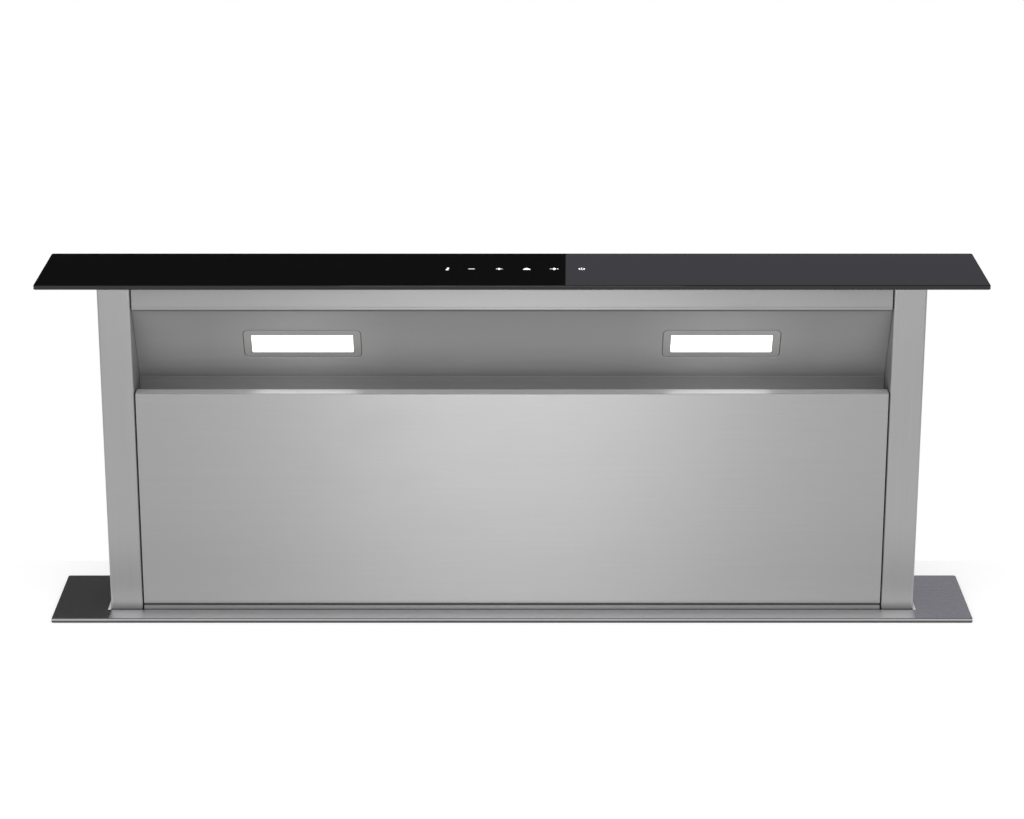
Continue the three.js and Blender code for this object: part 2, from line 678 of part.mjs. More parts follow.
/** Touch board under the carrier's window: one round sensor under each key, parts below. */
function touchBoard() {
  const top = columnCeiling - CARRIER_SHEET - SEAT;
  const x = BOARD_LENGTH / 2;
  const y = BOARD_DEPTH / 2;
  const board = prism('z', rectangle(-x, x, boardMiddle - y, boardMiddle + y, 2),
    top - BOARD_THICKNESS, top);
  const keys = Array.from({ length: TOUCH_KEYS }, (_, i) => {
    const keyX = (i - (TOUCH_KEYS - 1) / 2) * TOUCH_KEY_PITCH;
    return rod('z', TOUCH_KEY_RADIUS, top - 0.5, columnCeiling, [keyX, boardMiddle, 0], 16);
  });
  const under = top - BOARD_THICKNESS;
  const block = ([length, depth, height], middle) => {
    const outline = rectangle(middle - length / 2, middle + length / 2,
      boardMiddle - depth / 2, boardMiddle + depth / 2);
    return prism('z', outline, under - height, under + BOARD_THICKNESS / 2);
  };
  return join(board, ...keys, block(BOARD_CHIP, 0), block(BOARD_PLUG, x - BOARD_PLUG[0]));
}

// ---- Grease filters ----

const filterLength = (2 * panelHalf) / FILTERS - 2 * SEAT;
const filterHeight = (LAMP_PANEL_FOOT - railTop - 2 * SEAT - FILTER_THICKNESS * Math.sin(filterLean)) /
  Math.cos(filterLean);

/** From the filter's own frame (x right, y back, z up, foot at the lower front edge) to the column. */
function filterMatrix(x) {
  return new THREE.Matrix4()
    .makeRotationX(-filterLean)
    .setPosition(x, FILTER_FRONT_FOOT, railTop + SEAT + FILTER_THICKNESS * Math.sin(filterLean));
}

function filterFrame() {
  const half = filterLength / 2;
  const ring = prism('y', rectangle(-half, half, 0, filterHeight, 3), 0, FILTER_THICKNESS,
    [rectangle(-half + FILTER_RIM, half - FILTER_RIM, FILTER_RIM, filterHeight - FILTER_RIM)]);
  const top = filterHeight - GRIP_FROM_TOP;
  const gripPath = [[0.5, top], [-GRIP_REACH, top], [-GRIP_REACH, top - GRIP_REACH - 2]];
  const grip = prism('x', folded(gripPath, GRIP_SHEET), -GRIP_LENGTH / 2, GRIP_LENGTH / 2);
  return join(ring, grip);
}

/** Mesh layers folded into pleats that run up the filter. */
function filterPack() {
  const left = -filterLength / 2 + FILTER_RIM + SEAT;
  const pitch = (-2 * left) / (2 * FILTER_PLEATS);
  const low = (FILTER_THICKNESS - FILTER_PACK_DEPTH) / 2;
  const swing = FILTER_PACK_DEPTH - FILTER_PACK_SHEET;
  const line = Array.from({ length: 2 * FILTER_PLEATS + 1 }, (_, i) =>
    new THREE.Vector2(left + i * pitch, low + (i % 2) * swing));
  const back = line.map((p) => new THREE.Vector2(p.x, p.y + FILTER_PACK_SHEET)).reverse();
  return prism('z', [...line, ...back], FILTER_RIM + SEAT, filterHeight - FILTER_RIM - SEAT);
}

// ---- Housing ----

function housingShell() {
  const path = [
    [wallOutside - HOUSING_RETURN, housingFront],
    [wallOutside, housingFront],
    [wallOutside, housingBack],
    [-wallOutside, housingBack],
    [-wallOutside, housingFront],
    [-wallOutside + HOUSING_RETURN, housingFront],
  ];
  const shell = prism('z', folded(path, HOUSING_SHEET), housingFoot, housingTop);
  const heights = spaced(HOUSING_BEADS, housingFoot + BEAD_FROM_END, housingTop - BEAD_FROM_END);
  const half = wallInside - BEAD_FROM_SIDE;
  return beaded(shell, heights, half, housingBack, 1, HOUSING_SHEET);
}

/** `count` places from `first` to `last`, evenly spaced. */
const spaced = (count, first, last) =>
  Array.from({ length: count }, (_, i) => first + ((last - first) * i) / (count - 1));

/** Presses level stiffening beads into a sheet whose outer face is at y, pointing along `out`. */
function beaded(sheet, heights, half, y, out, thickness) {
  const ridge = (z) => {
    const profile = points([
      [y - out * thickness, z - BEAD_WIDTH / 2],
      [y, z - BEAD_WIDTH / 2],
      [y + out * BEAD_HEIGHT, z - BEAD_TOP / 2],
      [y + out * BEAD_HEIGHT, z + BEAD_TOP / 2],
      [y, z + BEAD_WIDTH / 2],
      [y - out * thickness, z + BEAD_WIDTH / 2],
    ]);
    return prism('x', out > 0 ? profile : profile.reverse(), -half, half);
  };
  const outside = heights.map(ridge);
  const inside = heights.map((z) => ridge(z).translate(0, -out * thickness, 0));
  return cut(join(sheet, ...outside), ...inside);
}

/** Base of the housing: one sheet folded up at the front and the back. */
function housingBase() {
  const y = housingBack - HOUSING_SHEET - SEAT;
  const lip = housingFoot + BASE_LIP;
  const path = [[-y, lip], [-y, housingFoot], [y, housingFoot], [y, lip]];
  return prism('x', folded(path, HOUSING_SHEET), -wallInside + SEAT, wallInside - SEAT);
}

/** A front cover: a flat sheet over the shell's returns, with lips folded in between them. */
function coverPlate(foot, top, footLip) {
  const half = wallOutside - 1;
  const lipHalf = wallOutside - HOUSING_RETURN - SEAT;
  const lipBack = coverFront + COVER_LIP;
  const path = [[lipBack, top], [coverFront, top], [coverFront, foot], [lipBack, foot]];
  const flat = prism('x', rectangle(coverFront, coverBack, foot, top), -half, half);
  return join(flat, prism('x', folded(footLip ? path : path.slice(0, 3), COVER_SHEET), -lipHalf, lipHalf));
}

function accessCover() {
  const foot = COVER_SPLIT + COVER_JOINT / 2;
  const top = housingTop - FRAME_SKIRT;
  const heights = spaced(COVER_BEADS, foot + COVER_BEAD_FROM_END, top - COVER_BEAD_FROM_END);
  const half = wallInside - BEAD_FROM_SIDE;
  return beaded(coverPlate(foot, top, true), heights, half, coverFront, -1, COVER_SHEET);
}

/** The lower cover carries the blower, and has its rounded inlet formed in it. */
function blowerPlate() {
  const plate = coverPlate(housingFoot, COVER_SPLIT - COVER_JOINT / 2, false);
  const mouth = revolve('y', [
    [INLET_RADIUS + INLET_FLARE + 2, coverBack],
    [INLET_RADIUS + INLET_FLARE, coverBack],
    [INLET_RADIUS + INLET_FLARE * 0.25, coverFront - INLET_LIP * 0.2],
    [INLET_RADIUS, coverFront - INLET_LIP * 0.5],
    [INLET_RADIUS, coverFront - INLET_LIP],
    [INLET_RADIUS + COVER_SHEET, coverFront - INLET_LIP],
    [INLET_RADIUS + COVER_SHEET, coverFront - INLET_LIP * 0.5],
    [INLET_RADIUS + INLET_FLARE * 0.25 + COVER_SHEET, coverFront - INLET_LIP * 0.2],
    [INLET_RADIUS + INLET_FLARE + 2, coverFront],
    [INLET_RADIUS + INLET_FLARE + 2, coverBack],
  ], blowerAt, 32);
  const hole = rod('y', INLET_RADIUS + INLET_FLARE, coverFront - 1, coverBack + 1, blowerAt, 32);
  return join(cut(plate, hole), mouth);
}

// ---- Lift ----

function guideRail() {
  const reach = ROLLER_RADIUS + SEAT + GUIDE_SHEET;
  const outside = guideWebInside + GUIDE_SHEET;
  const path = [
    [outside - GUIDE_DEPTH, GUIDE_Y - reach],
    [outside, GUIDE_Y - reach],
    [outside, GUIDE_Y + reach],
    [outside - GUIDE_DEPTH, GUIDE_Y + reach],
  ];
  return prism('z', folded(path, GUIDE_SHEET), housingFoot + GUIDE_FOOT_GAP, GUIDE_TOP);
}

const rollerOuter = guideWebInside - 2 * SEAT;

function roller(z) {
  const x0 = rollerOuter - ROLLER_WIDTH;
  const edge = ROLLER_RADIUS - 0.8;
  const bore = STUD_RADIUS + SEAT;
  return revolve('x', [
    [bore, x0], [edge, x0], [ROLLER_RADIUS, x0 + 1], [ROLLER_RADIUS, rollerOuter - 1], [edge, rollerOuter],
    [bore, rollerOuter], [bore, x0],
  ], [0, GUIDE_Y, z], 16);
}

/** Plate on the upright's foot, with two roller studs and the clamp that holds the belt. */
function carriage() {
  const foot = -COLUMN_TAIL + 2;
  const inside = columnSide + SEAT;
  const half = CARRIAGE_DEPTH / 2;
  const plate = prism('x', rectangle(-half, half, foot, foot + CARRIAGE_HEIGHT, 4), inside, carriageOutside);
  const studs = rollerHeights.map((z) =>
    rod('x', STUD_RADIUS, carriageOutside - 1, guideWebInside - SEAT, [0, GUIDE_Y, z], 16));
  const beltRun = BELT_Y - (beltInside + beltOutside) / 2;
  const jawZ = (rollerHeights[0] + rollerHeights[1]) / 2;
  const beltInner = pulleyMiddle - BELT_WIDTH / 2 - SEAT;
  const jaw = prism('x', rectangle(beltRun - JAW_DEPTH / 2, beltRun + JAW_DEPTH / 2,
    jawZ - JAW_HEIGHT / 2, jawZ + JAW_HEIGHT / 2, 1.5),
  carriageOutside - 1, pulleyMiddle + BELT_WIDTH / 2 + 1);
  const slotHalf = BELT_THICKNESS / 2 + SEAT;
  const slot = prism('x', rectangle(beltRun - slotHalf, beltRun + slotHalf,
    jawZ - JAW_HEIGHT, jawZ + JAW_HEIGHT), beltInner, wallInside);
  return cut(join(plate, ...studs, jaw), slot);
}

/** A wheel between two flanges that the belt runs on, its rim drawn by `outline`. */
function flangedWheel(z, rim) {
  const x0 = pulleyOuter - pulleyWidth;
  const radius = PULLEY_RADIUS + PULLEY_FLANGE;
  const flange = (x) => rod('x', radius, x, x + PULLEY_FLANGE_WIDTH, [0, BELT_Y, z], 24);
  return join(prism('x', rim, x0, pulleyOuter), flange(x0), flange(pulleyOuter - PULLEY_FLANGE_WIDTH));
}

function drivePulley() {
  const root = PULLEY_RADIUS - PULLEY_TOOTH_DEPTH;
  const tooth = [[root, 0], [root, 0.25], [PULLEY_RADIUS, 0.38], [PULLEY_RADIUS, 0.87]];
  const rim = Array.from({ length: PULLEY_TEETH }, (_, i) => i).flatMap((n) =>
    tooth.map(([radius, share]) => {
      const angle = (2 * Math.PI * (n + share)) / PULLEY_TEETH;
      return new THREE.Vector2(BELT_Y + radius * Math.cos(angle), shaftZ + radius * Math.sin(angle));
    }));
  return flangedWheel(shaftZ, rim);
}

function idlerPulley() {
  const wheel = flangedWheel(IDLER_Z, circle(BELT_Y, IDLER_Z, PULLEY_RADIUS, 24));
  const at = [0, BELT_Y, IDLER_Z];
  return cut(wheel, rod('x', STUD_RADIUS + SEAT, pulleyOuter - pulleyWidth - 1, wallInside, at, 16));
}

function idlerBracket() {
  const outside = wallInside - SEAT;
  const reach = PULLEY_RADIUS + PULLEY_FLANGE + 2;
  const plate = prism('x', rectangle(BELT_Y - reach, BELT_Y + reach, IDLER_Z - reach, IDLER_Z + reach, 4),
    idlerPlateInside, outside);
  const pin = rod('x', STUD_RADIUS, pulleyOuter - pulleyWidth - SEAT, outside - 1, [0, BELT_Y, IDLER_Z], 16);
  return join(plate, pin);
}

/** Belt loop round the idler and the drive pulley. */
function belt() {
  const loop = (radius, steps) => {
    const arc = (z, from) => Array.from({ length: steps + 1 }, (_, i) => {
      const angle = from + (Math.PI * i) / steps;
      return new THREE.Vector2(BELT_Y + radius * Math.cos(angle), z + radius * Math.sin(angle));
    });
    return [...arc(IDLER_Z, 0), ...arc(shaftZ, Math.PI)];
  };
  return prism('x', loop(beltOutside, 12), pulleyMiddle - BELT_WIDTH / 2, pulleyMiddle + BELT_WIDTH / 2,
    [loop(beltInside, 12)]);
}

/** Shaft across the housing that keeps both sides of the column level, with its two drive pulleys. */
function syncShaft() {
  const bar = rod('x', SHAFT_RADIUS, -pulleyOuter, pulleyOuter, [0, BELT_Y, shaftZ], 20);
  const drive = drivePulley();
  return join(bar, drive, mirrorX(drive));
}

function bearingBlock() {
  const outer = wallInside - BEARING_INSET;
  const half = BEARING_FOOT / 2;
  const footTop = baseFloor + BEARING_FOOT_HEIGHT;
  const waist = footTop + BEARING_SHOULDER;
  const arcSteps = 8;
  const outline = [
    ...points([[BELT_Y - half, baseFloor + SEAT], [BELT_Y + half, baseFloor + SEAT], [BELT_Y + half, footTop],
      [BELT_Y + BEARING_RADIUS, waist]]),
    ...Array.from({ length: arcSteps + 1 }, (_, i) => {
      const angle = (Math.PI * i) / arcSteps;
      return new THREE.Vector2(BEARING_RADIUS, 0).rotateAround(new THREE.Vector2(), angle)
        .add(new THREE.Vector2(BELT_Y, shaftZ));
    }),
    ...points([[BELT_Y - BEARING_RADIUS, waist], [BELT_Y - half, footTop]]),
  ];
  const bore = circle(BELT_Y, shaftZ, SHAFT_RADIUS + SEAT, 20);
  return prism('x', outline, outer - BEARING_WIDTH, outer, [bore]);
}

/** Worm gearbox on the shaft, standing on the base, with cooling ribs over its top. */
function gearbox() {
  const x1 = GEARboxX + GEARBOX_WIDTH;
  const back = BELT_Y + GEARBOX_BEHIND_SHAFT;
  const front = LIFT_MOTOR_Y - LIFT_MOTOR_RADIUS;
  const foot = baseFloor + SEAT;
  const top = shaftZ + GEARBOX_HALF_HEIGHT;
  const inset = GEARBOX_LEG_INSET;
  const at = [0, BELT_Y, shaftZ];
  const body = prism('x', rectangle(front, back, shaftZ - GEARBOX_HALF_HEIGHT, top, 8), GEARboxX, x1);
  const leg = prism('x', rectangle(front + inset, back - inset, foot, shaftZ), GEARboxX + inset, x1 - inset);
  const flange = prism('x', rectangle(front, back, foot, foot + GEARBOX_FLANGE_SHEET, 1),
    GEARboxX - GEARBOX_FLANGE, x1 + GEARBOX_FLANGE);
  const hub = rod('x', GEARBOX_HUB_RADIUS, GEARboxX - GEARBOX_HUB_LENGTH, GEARboxX + 1, at, 24);
  const pitch = GEARBOX_WIDTH / GEARBOX_RIBS;
  const ribs = Array.from({ length: GEARBOX_RIBS }, (_, i) => {
    const x = GEARboxX + (i + 0.3) * pitch;
    return prism('x', rectangle(front + inset, back - inset, shaftZ, top + inset, 6), x, x + pitch * 0.4);
  });
  const bore = rod('x', SHAFT_RADIUS + SEAT, GEARboxX - 2 * GEARBOX_HUB_LENGTH, x1 + 5, at, 20);
  return cut(join(body, leg, flange, hub, ...ribs), bore);
}

function liftMotor() {
  const x0 = GEARboxX + GEARBOX_WIDTH + SEAT;
  const x1 = x0 + LIFT_MOTOR_LENGTH;
  const can = LIFT_MOTOR_RADIUS - MOTOR_STEP;
  const cap = can - MOTOR_STEP;
  const boss = LIFT_MOTOR_RADIUS * 0.4;
  return revolve('x', [
    [0, x0], [LIFT_MOTOR_RADIUS, x0], [LIFT_MOTOR_RADIUS, x0 + MOTOR_FLANGE], [can, x0 + MOTOR_FLANGE],
    [can, x1 - MOTOR_CAP], [cap, x1 - MOTOR_CAP + 1], [cap, x1 - 4], [cap - 3, x1 - 2],
    [boss, x1 - 2], [boss, x1], [0, x1],
  ], [0, LIFT_MOTOR_Y, shaftZ], 20);
}

// ---- Blower ----

const scrollBack = coverFront - SEAT;
const scrollFront = scrollBack - SCROLL_DEPTH;
const drumBack = scrollBack - INLET_LIP - IMPELLER_BEHIND_INLET;
const drumFront = drumBack - IMPELLER_DEPTH;
const blowerAt = [BLOWER_X, 0, BLOWER_Z];

const spiralStart = THREE.MathUtils.degToRad(TONGUE_ANGLE);
const spiralEnd = THREE.MathUtils.degToRad(270);
const outletTop = BLOWER_Z + SCROLL_START_RADIUS * Math.sin(spiralStart);
const outletFloor = BLOWER_Z - SCROLL_START_RADIUS - SCROLL_GROWTH;

/** The fan casing's form: a spiral round the fan and a straight mouth to the right, grown by `offset`. */
function scrollForm(offset, mouthReach, y0, y1) {
  const steps = 36;
  const spiral = Array.from({ length: steps + 1 }, (_, i) => {
    const share = i / steps;
    const angle = spiralStart + share * (spiralEnd - spiralStart);
    const radius = SCROLL_START_RADIUS + share * SCROLL_GROWTH + offset;
    return new THREE.Vector2(BLOWER_X + radius * Math.cos(angle), BLOWER_Z + radius * Math.sin(angle));
  });
  const mouth = rectangle(BLOWER_X, BLOWER_X + SCROLL_OUTLET_REACH + mouthReach,
    outletFloor - offset, outletTop + offset);
  return join(prism('y', spiral, y0, y1), prism('y', mouth, y0, y1));
}

/** Copies of a geometry turned about the fan's axis, evenly round it. */
const roundFan = (geometry, count) => Array.from({ length: count }, (_, i) => {
  const turn = new THREE.Matrix4().makeTranslation(...blowerAt)
    .multiply(new THREE.Matrix4().makeRotationY((2 * Math.PI * i) / count));
  return geometry.clone().applyMatrix4(turn);
});

/** Spiral casing, open at the back where its flange meets the cover, with ribs round the motor. */
function scrollCasing() {
  const outside = scrollForm(0, 0, scrollFront, scrollBack);
  const flange = scrollForm(SCROLL_FLANGE, 0, scrollBack - SCROLL_WALL, scrollBack);
  const inside = scrollForm(-SCROLL_WALL, 5, scrollFront + SCROLL_WALL, scrollBack + 1);
  const motorHole = rod('y', FAN_MOTOR_RADIUS * 0.7, scrollFront - 1, scrollFront + 3, blowerAt, 32);
  const ribFoot = FAN_MOTOR_RADIUS + FAN_MOTOR_FLANGE + SEAT;
  const rib = prism('y', rectangle(-SCROLL_RIB / 2, SCROLL_RIB / 2, ribFoot, ribFoot + SCROLL_RIB_REACH),
    scrollFront - SCROLL_RIB, scrollFront + SCROLL_WALL / 2);
  return cut(join(outside, flange, ...roundFan(rib, SCROLL_RIBS)), inside, motorHole);
}

/** Forward-curved drum fan: back disc, hub, curved blades and the inlet ring. */
function impeller() {
  const r = IMPELLER_RADIUS;
  const bore = FAN_SHAFT_RADIUS + SEAT;
  const disc = revolve('y', [
    [bore, drumFront], [r, drumFront], [r, drumFront + DISC_SHEET],
    [2 * HUB_RADIUS, drumFront + DISC_SHEET], [HUB_RADIUS, drumFront + HUB_RADIUS],
    [HUB_RADIUS, drumFront + HUB_LENGTH], [bore, drumFront + HUB_LENGTH], [bore, drumFront],
  ], blowerAt, 36);
  const ringInside = r - BLADE_DEPTH;
  const ring = revolve('y', [[ringInside, drumBack - DISC_SHEET], [r, drumBack - DISC_SHEET], [r, drumBack],
    [ringInside, drumBack], [ringInside, drumBack - DISC_SHEET]], blowerAt, 36);
  const edge = BLADE_THICKNESS / 3; // keeps the blades inside the ring's two rims
  const chordSteps = 3;
  const face = (lead) => Array.from({ length: chordSteps + 1 }, (_, i) => {
    const share = i / chordSteps;
    const radius = THREE.MathUtils.lerp(ringInside + edge, r - edge, share);
    const angle = BLADE_SWEEP * share * share + lead / radius;
    return new THREE.Vector2(radius * Math.cos(angle), radius * Math.sin(angle));
  });
  const outline = [...face(0), ...face(BLADE_THICKNESS).reverse()];
  const blade = prism('y', outline, drumFront + DISC_SHEET / 2, drumBack - DISC_SHEET / 2);
  return join(disc, ring, ...roundFan(blade, IMPELLER_BLADES));
}

/** Fan motor on the front of the casing, its shaft reaching into the impeller's hub. */
function fanMotor() {
  const face = scrollFront - SEAT;
  const r = FAN_MOTOR_RADIUS;
  const end = face - FAN_MOTOR_LENGTH;
  const shaftEnd = drumFront + HUB_LENGTH - DISC_SHEET;
  const slotFoot = r * 0.34;
  const body = revolve('y', [
    [0, end], [r * 0.68, end], [r * 0.9, end + 4], [r, end + 12],
    [r, face - 6], [r + FAN_MOTOR_FLANGE, face - 4],
    [r + FAN_MOTOR_FLANGE, face], [r * 0.6, face], [r * 0.6, drumFront - FAN_MOTOR_SLOT],
    [FAN_SHAFT_RADIUS, drumFront - FAN_MOTOR_SLOT], [FAN_SHAFT_RADIUS, shaftEnd], [0, shaftEnd],
  ], blowerAt, 28);
  const slot = prism('y', rectangle(-FAN_MOTOR_SLOT / 2, FAN_MOTOR_SLOT / 2, slotFoot, r * 0.64,
    FAN_MOTOR_SLOT * 0.45), end - 1, end + FAN_MOTOR_SLOT);
  return cut(body, ...roundFan(slot, FAN_MOTOR_SLOTS));
}

// ---- Outlet and damper ----

const outletX = BLOWER_X + SCROLL_OUTLET_REACH + SEAT;
const ductY = coverFront - DUCT_COVER_GAP - DUCT_RADIUS;
const ductZ = housingFoot + DUCT_FLOOR_GAP + DUCT_RADIUS;
const spigotX = outletX + TRANSITION_LENGTH + SEAT;
const damperX = spigotX + DAMPER_FROM_MOUTH;

/** Square-to-round duct from the casing's mouth to the spigot. */
function transition() {
  const steps = 32;
  const middleY = (scrollFront + scrollBack) / 2;
  const middleZ = (outletTop + outletFloor) / 2;
  const skin = (inset, extra) => {
    const x0 = outletX - extra;
    const x1 = outletX + TRANSITION_LENGTH + extra;
    const halfY = SCROLL_DEPTH / 2 - inset;
    const halfZ = (outletTop - outletFloor) / 2 - inset;
    const ring = (share) => Array.from({ length: steps }, (_, i) => {
      const angle = (2 * Math.PI * i) / steps;
      const c = Math.cos(angle);
      const s = Math.sin(angle);
      const square = 1 / Math.max(Math.abs(c), Math.abs(s));
      const round = DUCT_RADIUS - inset;
      return new THREE.Vector3(
        x0 + share * (x1 - x0),
        THREE.MathUtils.lerp(middleY + halfY * c * square, ductY + round * c, share),
        THREE.MathUtils.lerp(middleZ + halfZ * s * square, ductZ + round * s, share),
      );
    });
    return loft([0, 0.3, 0.65, 1].map((share) => ring(share)));
  };
  return cut(skin(0, 0), skin(DUCT_WALL, 0.01));
}

/** Round outlet with a raised bead, and seats for the damper's pin. */
function spigot() {
  const r = DUCT_RADIUS;
  const inside = r - DUCT_WALL;
  const at = [0, ductY, ductZ];
  const x1 = spigotX + SPIGOT_LENGTH;
  const leafStop = damperX - FLAP_THICKNESS - DAMPER_PIN_RADIUS - 2 * SEAT;
  const tube = revolve('x', [
    [inside, spigotX], [r, spigotX], [r, x1 - 18], [r + 1.5, x1 - 16], [r + 1.5, x1 - 14], [r, x1 - 12],
    [r, x1], [inside, x1], [inside, leafStop], [inside - DAMPER_STOP, leafStop],
    [inside - DAMPER_STOP, leafStop - DAMPER_STOP], [inside, leafStop - 2 * DAMPER_STOP], [inside, spigotX],
  ], at, 36);
  const boss = rod('z', DAMPER_PIN_RADIUS + 2, -r - 2, r + 2, [damperX, ductY, ductZ], 16);
  const bossInside = rod('x', inside, spigotX - 5, x1 + 5, at, 36);
  const pinHole = rod('z', DAMPER_PIN_RADIUS + SEAT, -r - 4, r + 4, [damperX, ductY, ductZ], 16);
  return cut(join(tube, cut(boss, bossInside)), pinHole);
}

const damperPin = () =>
  rod('z', DAMPER_PIN_RADIUS, -DUCT_RADIUS - 2, DUCT_RADIUS + 2, [damperX, ductY, ductZ], 16);

/** One half-round leaf with its knuckles on the pin. `side` is -1 for the front leaf, 1 for the rear one. */
function damperLeaf(side) {
  const radius = DUCT_RADIUS - DUCT_WALL - FLAP_CLEARANCE;
  const bore = DAMPER_PIN_RADIUS + SEAT;
  const knuckle = bore + FLAP_THICKNESS;
  const x0 = damperX - knuckle;
  const x1 = x0 + FLAP_THICKNESS;
  const half = circle(0, 0, radius, 48).filter((p) => p.x * side > -0.001)
    .map((p) => p.add(new THREE.Vector2(ductY, ductZ)));
  const ordered = side < 0 ? half : [...half.slice(half.length / 2), ...half.slice(0, half.length / 2)];
  const leaf = prism('x', ordered, x0, x1);
  const [a, b, c, d] = side < 0 ? FRONT_KNUCKLES : REAR_KNUCKLES;
  // The leaf keeps clear of the other leaf's knuckles, which sit between or outside its own.
  const clear = knuckle + 2 * SEAT;
  const notches = [[-1.1, a], [b, c], [d, 1.1]].map(([low, high]) =>
    prism('x', rectangle(ductY - clear, ductY + clear, ductZ + low * radius, ductZ + high * radius),
      x0 - 1, x1 + 1));
  const knuckles = [[a, b], [c, d]].map(([low, high]) => {
    const foot = low * radius + SEAT;
    const top = high * radius - SEAT;
    return revolve('z', [[bore, foot], [knuckle, foot], [knuckle, top], [bore, top], [bore, foot]],
      [damperX, ductY, ductZ], 16);
  });
  return join(cut(leaf, ...notches), ...knuckles);
}

// ---- Control box and brackets ----

function controlBox() {
  const back = coverFront - SEAT;
  const x0 = boxX - BOX_LENGTH / 2;
  const x1 = boxX + BOX_LENGTH / 2;
  const z0 = BOX_Z - BOX_HEIGHT / 2;
  const z1 = BOX_Z + BOX_HEIGHT / 2;
  const shell = prism('y', rectangle(x0, x1, z0, z1, 5), back - BOX_DEPTH, back);
  const inside = prism('y', rectangle(x0 + BOX_WALL, x1 - BOX_WALL, z0 + BOX_WALL, z1 - BOX_WALL, 4),
    back - BOX_DEPTH - 1, back - BOX_WALL);
  const ears = prism('y', rectangle(x0 - BOX_EAR, x1 + BOX_EAR, BOX_Z - BOX_EAR, BOX_Z + BOX_EAR, 4),
    back - BOX_WALL, back);
  const holeAt = BOX_LENGTH / 2 + BOX_EAR * 0.55;
  const earHoles = [-holeAt, holeAt].map((x) =>
    rod('y', BOX_EAR * 0.2, back - BOX_WALL - 1, back + 1, [boxX + x, 0, BOX_Z], 12));
  const glandHole = rod('z', GLAND_STEM, z0 - 1, z0 + BOX_WALL + 1, glandAt, 20);
  return cut(join(shell, ears), inside, glandHole, ...earHoles);
}

const glandAt = [boxX + BOX_LENGTH / 4, coverFront - SEAT - BOX_DEPTH / 2, 0];

function controlBoxLid() {
  const face = coverFront - 2 * SEAT - BOX_DEPTH;
  const x = BOX_LENGTH / 2;
  const z = BOX_HEIGHT / 2;
  const plate = prism('y', rectangle(boxX - x, boxX + x, BOX_Z - z, BOX_Z + z, 5), face - 2, face);
  const step = BOX_WALL + SEAT;
  const rim = prism('y', rectangle(boxX - x + step, boxX + x - step, BOX_Z - z + step, BOX_Z + z - step, 4),
    face - 1, face + 4, [rectangle(boxX - x + step + 2, boxX + x - step - 2, BOX_Z - z + step + 2,
      BOX_Z + z - step - 2, 3)]);
  const vents = Array.from({ length: BOX_VENTS }, (_, i) => {
    const middle = boxX + (i - (BOX_VENTS - 1) / 2) * BOX_VENT_PITCH;
    const outline = rectangle(middle - BOX_VENT_WIDTH / 2, middle + BOX_VENT_WIDTH / 2,
      BOX_Z - BOX_VENT_LENGTH / 2, BOX_Z + BOX_VENT_LENGTH / 2, BOX_VENT_WIDTH * 0.45, 2);
    return prism('y', outline, face - 3, face + 1);
  });
  return cut(join(plate, rim), ...vents);
}

/** Cable inlet under the control box: a hexagon body and its domed nut. */
function cableGland() {
  const top = BOX_Z - BOX_HEIGHT / 2 - SEAT;
  const r = GLAND_RADIUS;
  const nutTop = top - GLAND_BODY + 1;
  const foot = nutTop - GLAND_NUT;
  const body = prism('z', circle(glandAt[0], glandAt[1], r * 1.15, 6), top - GLAND_BODY, top);
  const nut = revolve('z', [[0, foot], [r * 0.7, foot], [r, foot + 4], [r, nutTop - 2], [r * 0.8, nutTop],
    [0, nutTop]], glandAt, 20);
  const stem = rod('z', GLAND_STEM - SEAT, top - 1, top + BOX_WALL + 4, glandAt, 20);
  return cut(join(body, nut, stem), rod('z', r * 0.45, foot - 1, top + BOX_WALL + 8, glandAt, 16));
}

/** Bracket on the housing's side whose jack screw presses up against the worktop's underside. */
function worktopClamp() {
  const x0 = wallOutside + SEAT;
  const path = [[x0 + CLAMP_REACH, CLAMP_Z], [x0, CLAMP_Z], [x0, CLAMP_Z - CLAMP_LEG]];
  const strap = prism('y', folded(path, BRACKET_SHEET), -CLAMP_WIDTH / 2, CLAMP_WIDTH / 2);
  const screwX = x0 + CLAMP_REACH * 0.62;
  const top = -WORKTOP_THICKNESS - SEAT;
  const headTop = CLAMP_Z - 10;
  const headFoot = headTop - 4;
  const screw = revolve('z', [[0, headFoot], [CLAMP_HEAD_RADIUS, headFoot], [CLAMP_HEAD_RADIUS, headTop],
    [STUD_RADIUS, headTop], [STUD_RADIUS, top - 3], [CLAMP_PAD_RADIUS, top - 3], [CLAMP_PAD_RADIUS, top],
    [0, top]], [screwX, 0, 0], 12);
  return join(strap, screw);
}

/** Angle bracket that fixes the housing's foot to the cabinet floor, with one slotted hole. */
function floorBracket() {
  const x0 = wallOutside + SEAT;
  const path = [[x0, housingFoot + FOOT_LEG], [x0, housingFoot], [x0 + FOOT_REACH, housingFoot]];
  const angle = prism('y', folded(path, BRACKET_SHEET), -FOOT_WIDTH / 2, FOOT_WIDTH / 2);
  const slot = prism('z', rectangle(x0 + FOOT_REACH * 0.4, x0 + FOOT_REACH * 0.4 + 6, -12, 12, 2.9),
    housingFoot - 1, housingFoot + BRACKET_SHEET + 1);
  return cut(angle, slot);
}

// ---- Assembly ----

add('deck_plate', deckPlate(), 'polishedSteel');
add('deck_gasket', deckGasket(), 'rubber');
add('deck_frame', deckFrame(), 'galvanised');

addPair('upright', upright(), 'brushedSteel');
add('top_rail', topRail(), 'brushedSteel');
add('lamp_panel', lampPanel(), 'brushedSteel');
add('front_panel', frontPanel(), 'brushedSteel');
add('bottom_rail', bottomRail(), 'brushedSteel');
add('back_panel', backPanel(), 'brushedSteel');
add('glass_carrier', glassCarrier(), 'galvanised');
add('glass_top', glassTop(), 'blackGlass');
add('touch_board', touchBoard(), 'circuitBoard');

